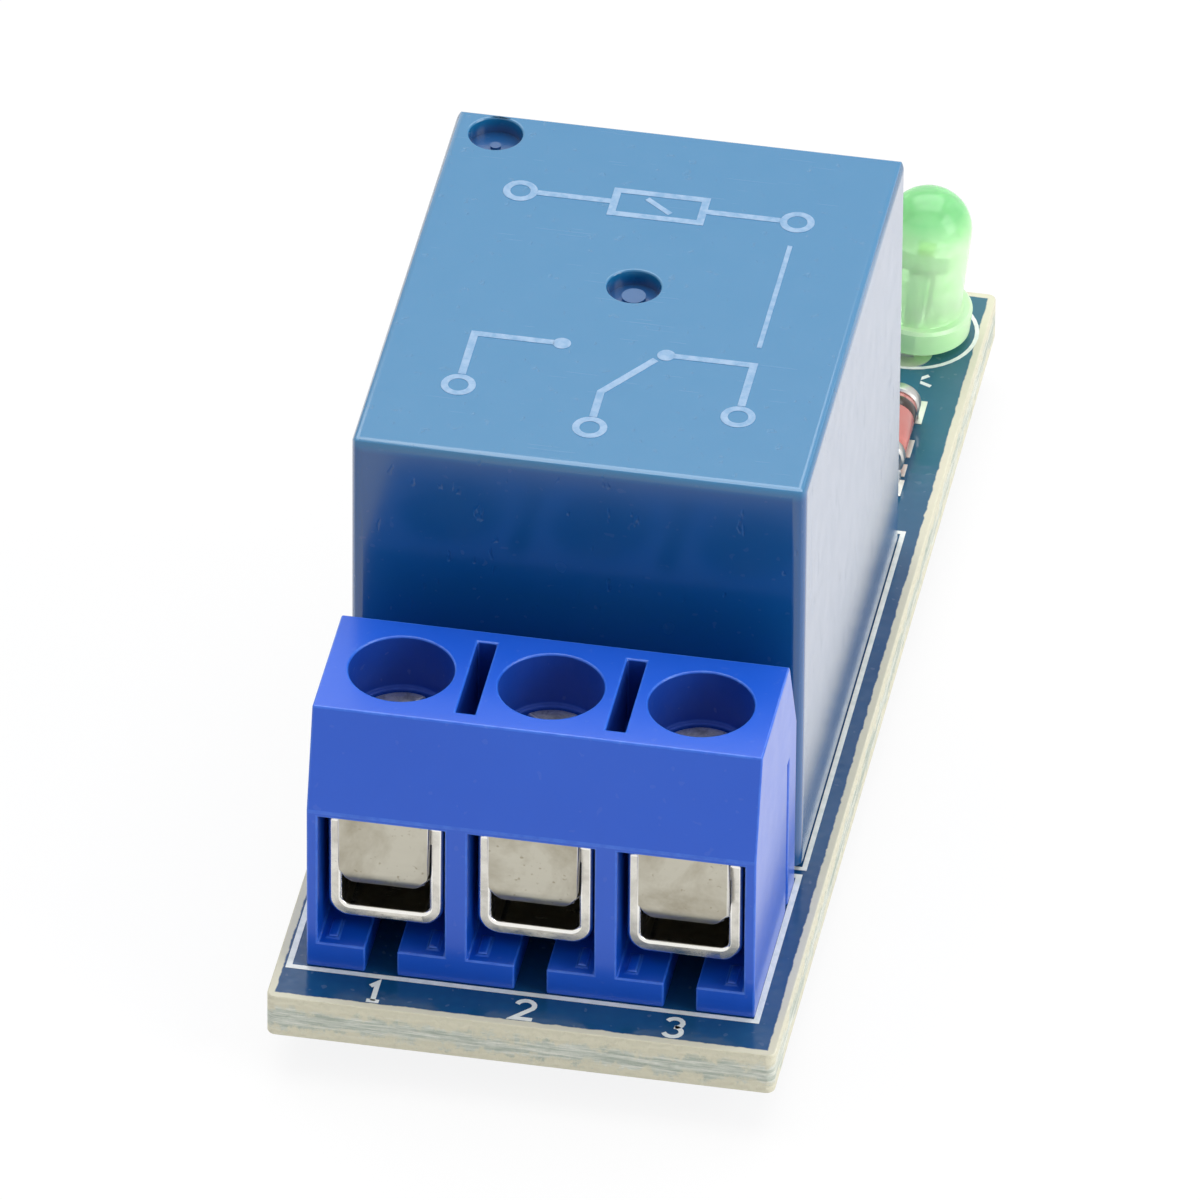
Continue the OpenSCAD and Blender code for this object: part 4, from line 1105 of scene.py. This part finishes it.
def build_resistor(node, place):
    """A ceramic chip under a black cover, with a tinned cap over each end."""
    half_width, half_length, height, cap = 0.625, 1.0, 0.5, 0.34
    bm = bmesh.new()

    def slab(half, y_low, y_high, low, high, finish):
        """A block across the chip, with its ends from the chip's middle and its heights."""
        x, y = place
        made = block(
            bm, (x - half, y + y_low, BOARD_TOP + low), (x + half, y + y_high, BOARD_TOP + high),
        )
        for face in {f for v in made for f in v.link_faces}:
            face.material_index = finish

    core, cover = half_length - 0.3, half_length - cap
    slab(half_width - 0.02, -core, core, 0.03, height - 0.06, 0)
    slab(half_width - 0.05, -cover, cover, height - 0.06, height - 0.01, 1)
    for y_low, y_high in ((-half_length, -cover), (cover, half_length)):
        slab(half_width, y_low, y_high, 0, height - 0.03, 2)
    soften(bm, 0.035)
    add_piece(
        f"{node}_chip", bm, (resistor_ceramic, resistor_black, solder_tin), "board",
        replaces=(node,),
    )


def build_transistor():
    soften_solid("transistor_body", "transistor_case", black_plastic, 0.05)
    soften_solid("transistor_leads", "transistor_feet", lead_tin, 0.02, 1)


def build_header():
    soften_solid("header_strip", "header_plastic", black_plastic, 0.06)
    for number in (1, 2, 3):
        pin, post = f"header_pin_{number}", f"header_post_{number}"
        soften_solid(pin, post, pin_gold, 0.04)


def solder_cone(bm, x, y, lead, rim, seed):
    """A solder cone under the board with the hollow flank that molten solder takes."""
    tip, base, hollow, steps, lumps = 0.5, BOARD_LOW, 1.5, 10, 0.10
    flank = [
        (lead + (rim - lead) * (k / steps) ** hollow, tip + (base - tip) * k / steps)
        for k in range(steps + 1)
    ]
    verts = lathe(bm, [(0, tip - 0.02), *flank, (0, base)], steps=28)
    for v in verts:
        if tip < v.co.z < base - 0.01:
            spot = Vector((v.co.x, v.co.y, v.co.z * 1.5 + seed * 7.1))
            v.co.xy *= 1 + lumps * noise.noise(spot)
    bmesh.ops.translate(bm, vec=(x, y, 0), verts=verts)


def build_solder():
    groups = {
        "terminal_solder": (HOLES["pole"], 0.46, 0.98),
        "relay_solder": (HOLES["switch"] + HOLES["coil"] + HOLES["common"], 0.40, 1.0),
        "lamp_solder": (HOLES["lamp"], 0.34, 0.78),
        "header_solder": (HOLES["header"], 0.42, 0.88),
    }
    for seed, (node, (holes, lead, rim)) in enumerate(groups.items()):
        bm = bmesh.new()
        for k, (x, y, hole, pad) in enumerate(holes):
            solder_cone(bm, x, y, min(lead, hole - 0.1), min(rim, pad - 0.08), seed * 9 + k)
        add_piece(f"{node}_cones", bm, solder_tin, "board", replaces=(node,), smooth=60)


def solder_heap(bm, x, y, half_width, length, height, way):
    """Solder that runs up against a part's end; way is +1 or -1 along Y."""
    steps, ribs = 8, (-1, -0.6, 0, 0.6, 1)
    rows = []
    for k in range(steps + 1):
        t = k / steps
        crest = height * (1 - t) ** 1.9 + PAD_RISE
        width = half_width * (1 - 0.25 * t * t)
        rows.append([
            bm.verts.new((
                x + rib * width, y + way * length * t,
                BOARD_TOP + crest * (0.35 if abs(rib) == 1 else 1.0),
            ))
            for rib in ribs
        ])
    for near, far in zip(rows, rows[1:]):
        for k in range(len(ribs) - 1):
            bm.faces.new((near[k], near[k + 1], far[k + 1], far[k]))
    own = {v for row in rows for v in row}
    skirt = [e for e in bm.edges if e.is_boundary and e.verts[0] in own]
    for g in bmesh.ops.extrude_edge_only(bm, edges=skirt)["geom"]:
        if isinstance(g, bmesh.types.BMVert):
            g.co.z = BOARD_TOP
    bmesh.ops.holes_fill(bm, edges=[e for e in bm.edges if e.is_boundary], sides=0)


def build_surface_solder():
    bm = bmesh.new()
    solder_heap(bm, DIODE_X, DIODE_FRONT + 0.05, 0.66, 0.6, 0.8, -1)
    solder_heap(bm, DIODE_X, DIODE_REAR - 0.05, 0.66, 0.6, 0.8, 1)
    for x, y in (BASE_RESISTOR, LAMP_RESISTOR):
        for way in (-1, 1):
            solder_heap(bm, x, y + way * 0.98, 0.6, 0.4, 0.36, way)
    for x in (-4.35, -2.45):
        solder_heap(bm, x, 9.8, 0.34, 0.4, 0.12, -1)
    solder_heap(bm, -3.4, 12.1, 0.34, 0.4, 0.12, 1)
    add_piece(
        "surface_solder_heaps", bm, solder_tin, "board",
        replaces=("surface_solder",), smooth=60,
    )


build_diode()
build_resistor("base_resistor", BASE_RESISTOR)
build_resistor("lamp_resistor", LAMP_RESISTOR)
build_transistor()
build_header()
build_solder()
build_surface_solder()


# ---------------------------------------------------------------- finishes on the CAD solids

CARRIED = {
    "relay_base": base_blue, "base_seal": sealing_resin, "coil_bobbin": bobbin_white,
    "coil_winding": copper_winding, "coil_core": magnet_iron, "coil_pin_left": lead_tin,
    "coil_pin_right": lead_tin, "magnet_yoke": magnet_iron, "yoke_rivet": rivet_steel,
    "common_strip": lead_tin, "armature": magnet_iron, "armature_rivets": rivet_steel,
    "moving_contact": contact_silver,
    "open_contact_strip": lead_tin, "open_contact_button": contact_silver,
    "closed_contact_strip": lead_tin, "closed_contact_button": contact_silver,
    "lamp_anode": lead_tin, "lamp_cathode": lead_tin, "lamp_chip": lamp_die,
}
for node, material in CARRIED.items():
    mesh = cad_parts[node].data
    mesh.materials.clear()
    mesh.materials.append(material)


# ---------------------------------------------------------------- stage, light and camera

def white_floor():
    m, tree, bsdf = new_material("white_floor")
    glow = add_node(tree, "ShaderNodeEmission", {"Color": WHITE, "Strength": 1.0})
    bsdf.inputs["Base Color"].default_value = (0.90, 0.90, 0.90, 1)
    bsdf.inputs["Roughness"].default_value = 0.9
    bsdf.inputs["Specular IOR Level"].default_value = 0.0
    shown = times(tree, seen_directly(tree), 0.88)
    mix = add_node(tree, "ShaderNodeMixShader", {"Fac": shown})
    tree.links.new(bsdf.outputs[0], mix.inputs[1])
    tree.links.new(glow.outputs[0], mix.inputs[2])
    tree.links.new(mix.outputs[0], tree.nodes["Material Output"].inputs["Surface"])
    return m


def build_stage():
    bm = bmesh.new()
    bmesh.ops.create_grid(bm, x_segments=1, y_segments=1, size=3)
    mesh = bpy.data.meshes.new("floor")
    bm.to_mesh(mesh)
    bm.free()
    mesh.materials.append(white_floor())
    floor = bpy.data.objects.new("floor", mesh)
    bpy.context.scene.collection.objects.link(floor)


def softbox(name, power, size, place, aim=(0, 0, 0.008)):
    light = bpy.data.lights.new(name, "AREA")
    light.shape = "RECTANGLE"
    light.energy = power
    light.size, light.size_y = size
    lamp = bpy.data.objects.new(name, light)
    lamp.location = place
    lamp.rotation_euler = (Vector(place) - Vector(aim)).to_track_quat("Z", "Y").to_euler()
    bpy.context.scene.collection.objects.link(lamp)


def build_light():
    """A light tent, dimmer in front of the board than behind it, and two soft boxes."""
    world = bpy.data.worlds.new("studio")
    world.use_nodes = True
    tree = world.node_tree
    direction = add_node(tree, "ShaderNodeTexCoord").outputs["Generated"]
    tent = spread(tree, along(tree, direction, "Y"), -1.0, 0.4, 0.38, 0.54)
    strength = larger(tree, seen_directly(tree), tent)
    back = tree.nodes["Background"]
    back.inputs["Color"].default_value = WHITE
    tree.links.new(strength, back.inputs["Strength"])
    bpy.context.scene.world = world
    softbox("over_light", 7.8, (1.0, 0.9), (-0.05, 0.33, 0.85))
    softbox("side_light", 3.6, (0.5, 0.65), (0.75, -0.15, 0.38))


def build_camera():
    """A long lens well in front of the board, above it and to its right."""
    data = bpy.data.cameras.new("camera")
    data.sensor_width = 36.0
    data.lens = 731.13
    data.clip_start, data.clip_end = 0.05, 20
    right = Vector((0.983135, 0.182768, 0.006402))
    down = Vector((0.115053, -0.590920, -0.798484))
    forward = Vector((-0.142154, 0.785754, -0.601982))
    camera = bpy.data.objects.new("camera", data)
    turn = Matrix((right, -down, -forward)).transposed().to_4x4()
    camera.matrix_world = Matrix.Translation(Vector((114.804, -641.87, 496.27)) * MM) @ turn
    bpy.context.scene.collection.objects.link(camera)
    bpy.context.scene.camera = camera


build_stage()
build_light()
build_camera()
bpy.context.scene.view_settings.view_transform = "Standard"
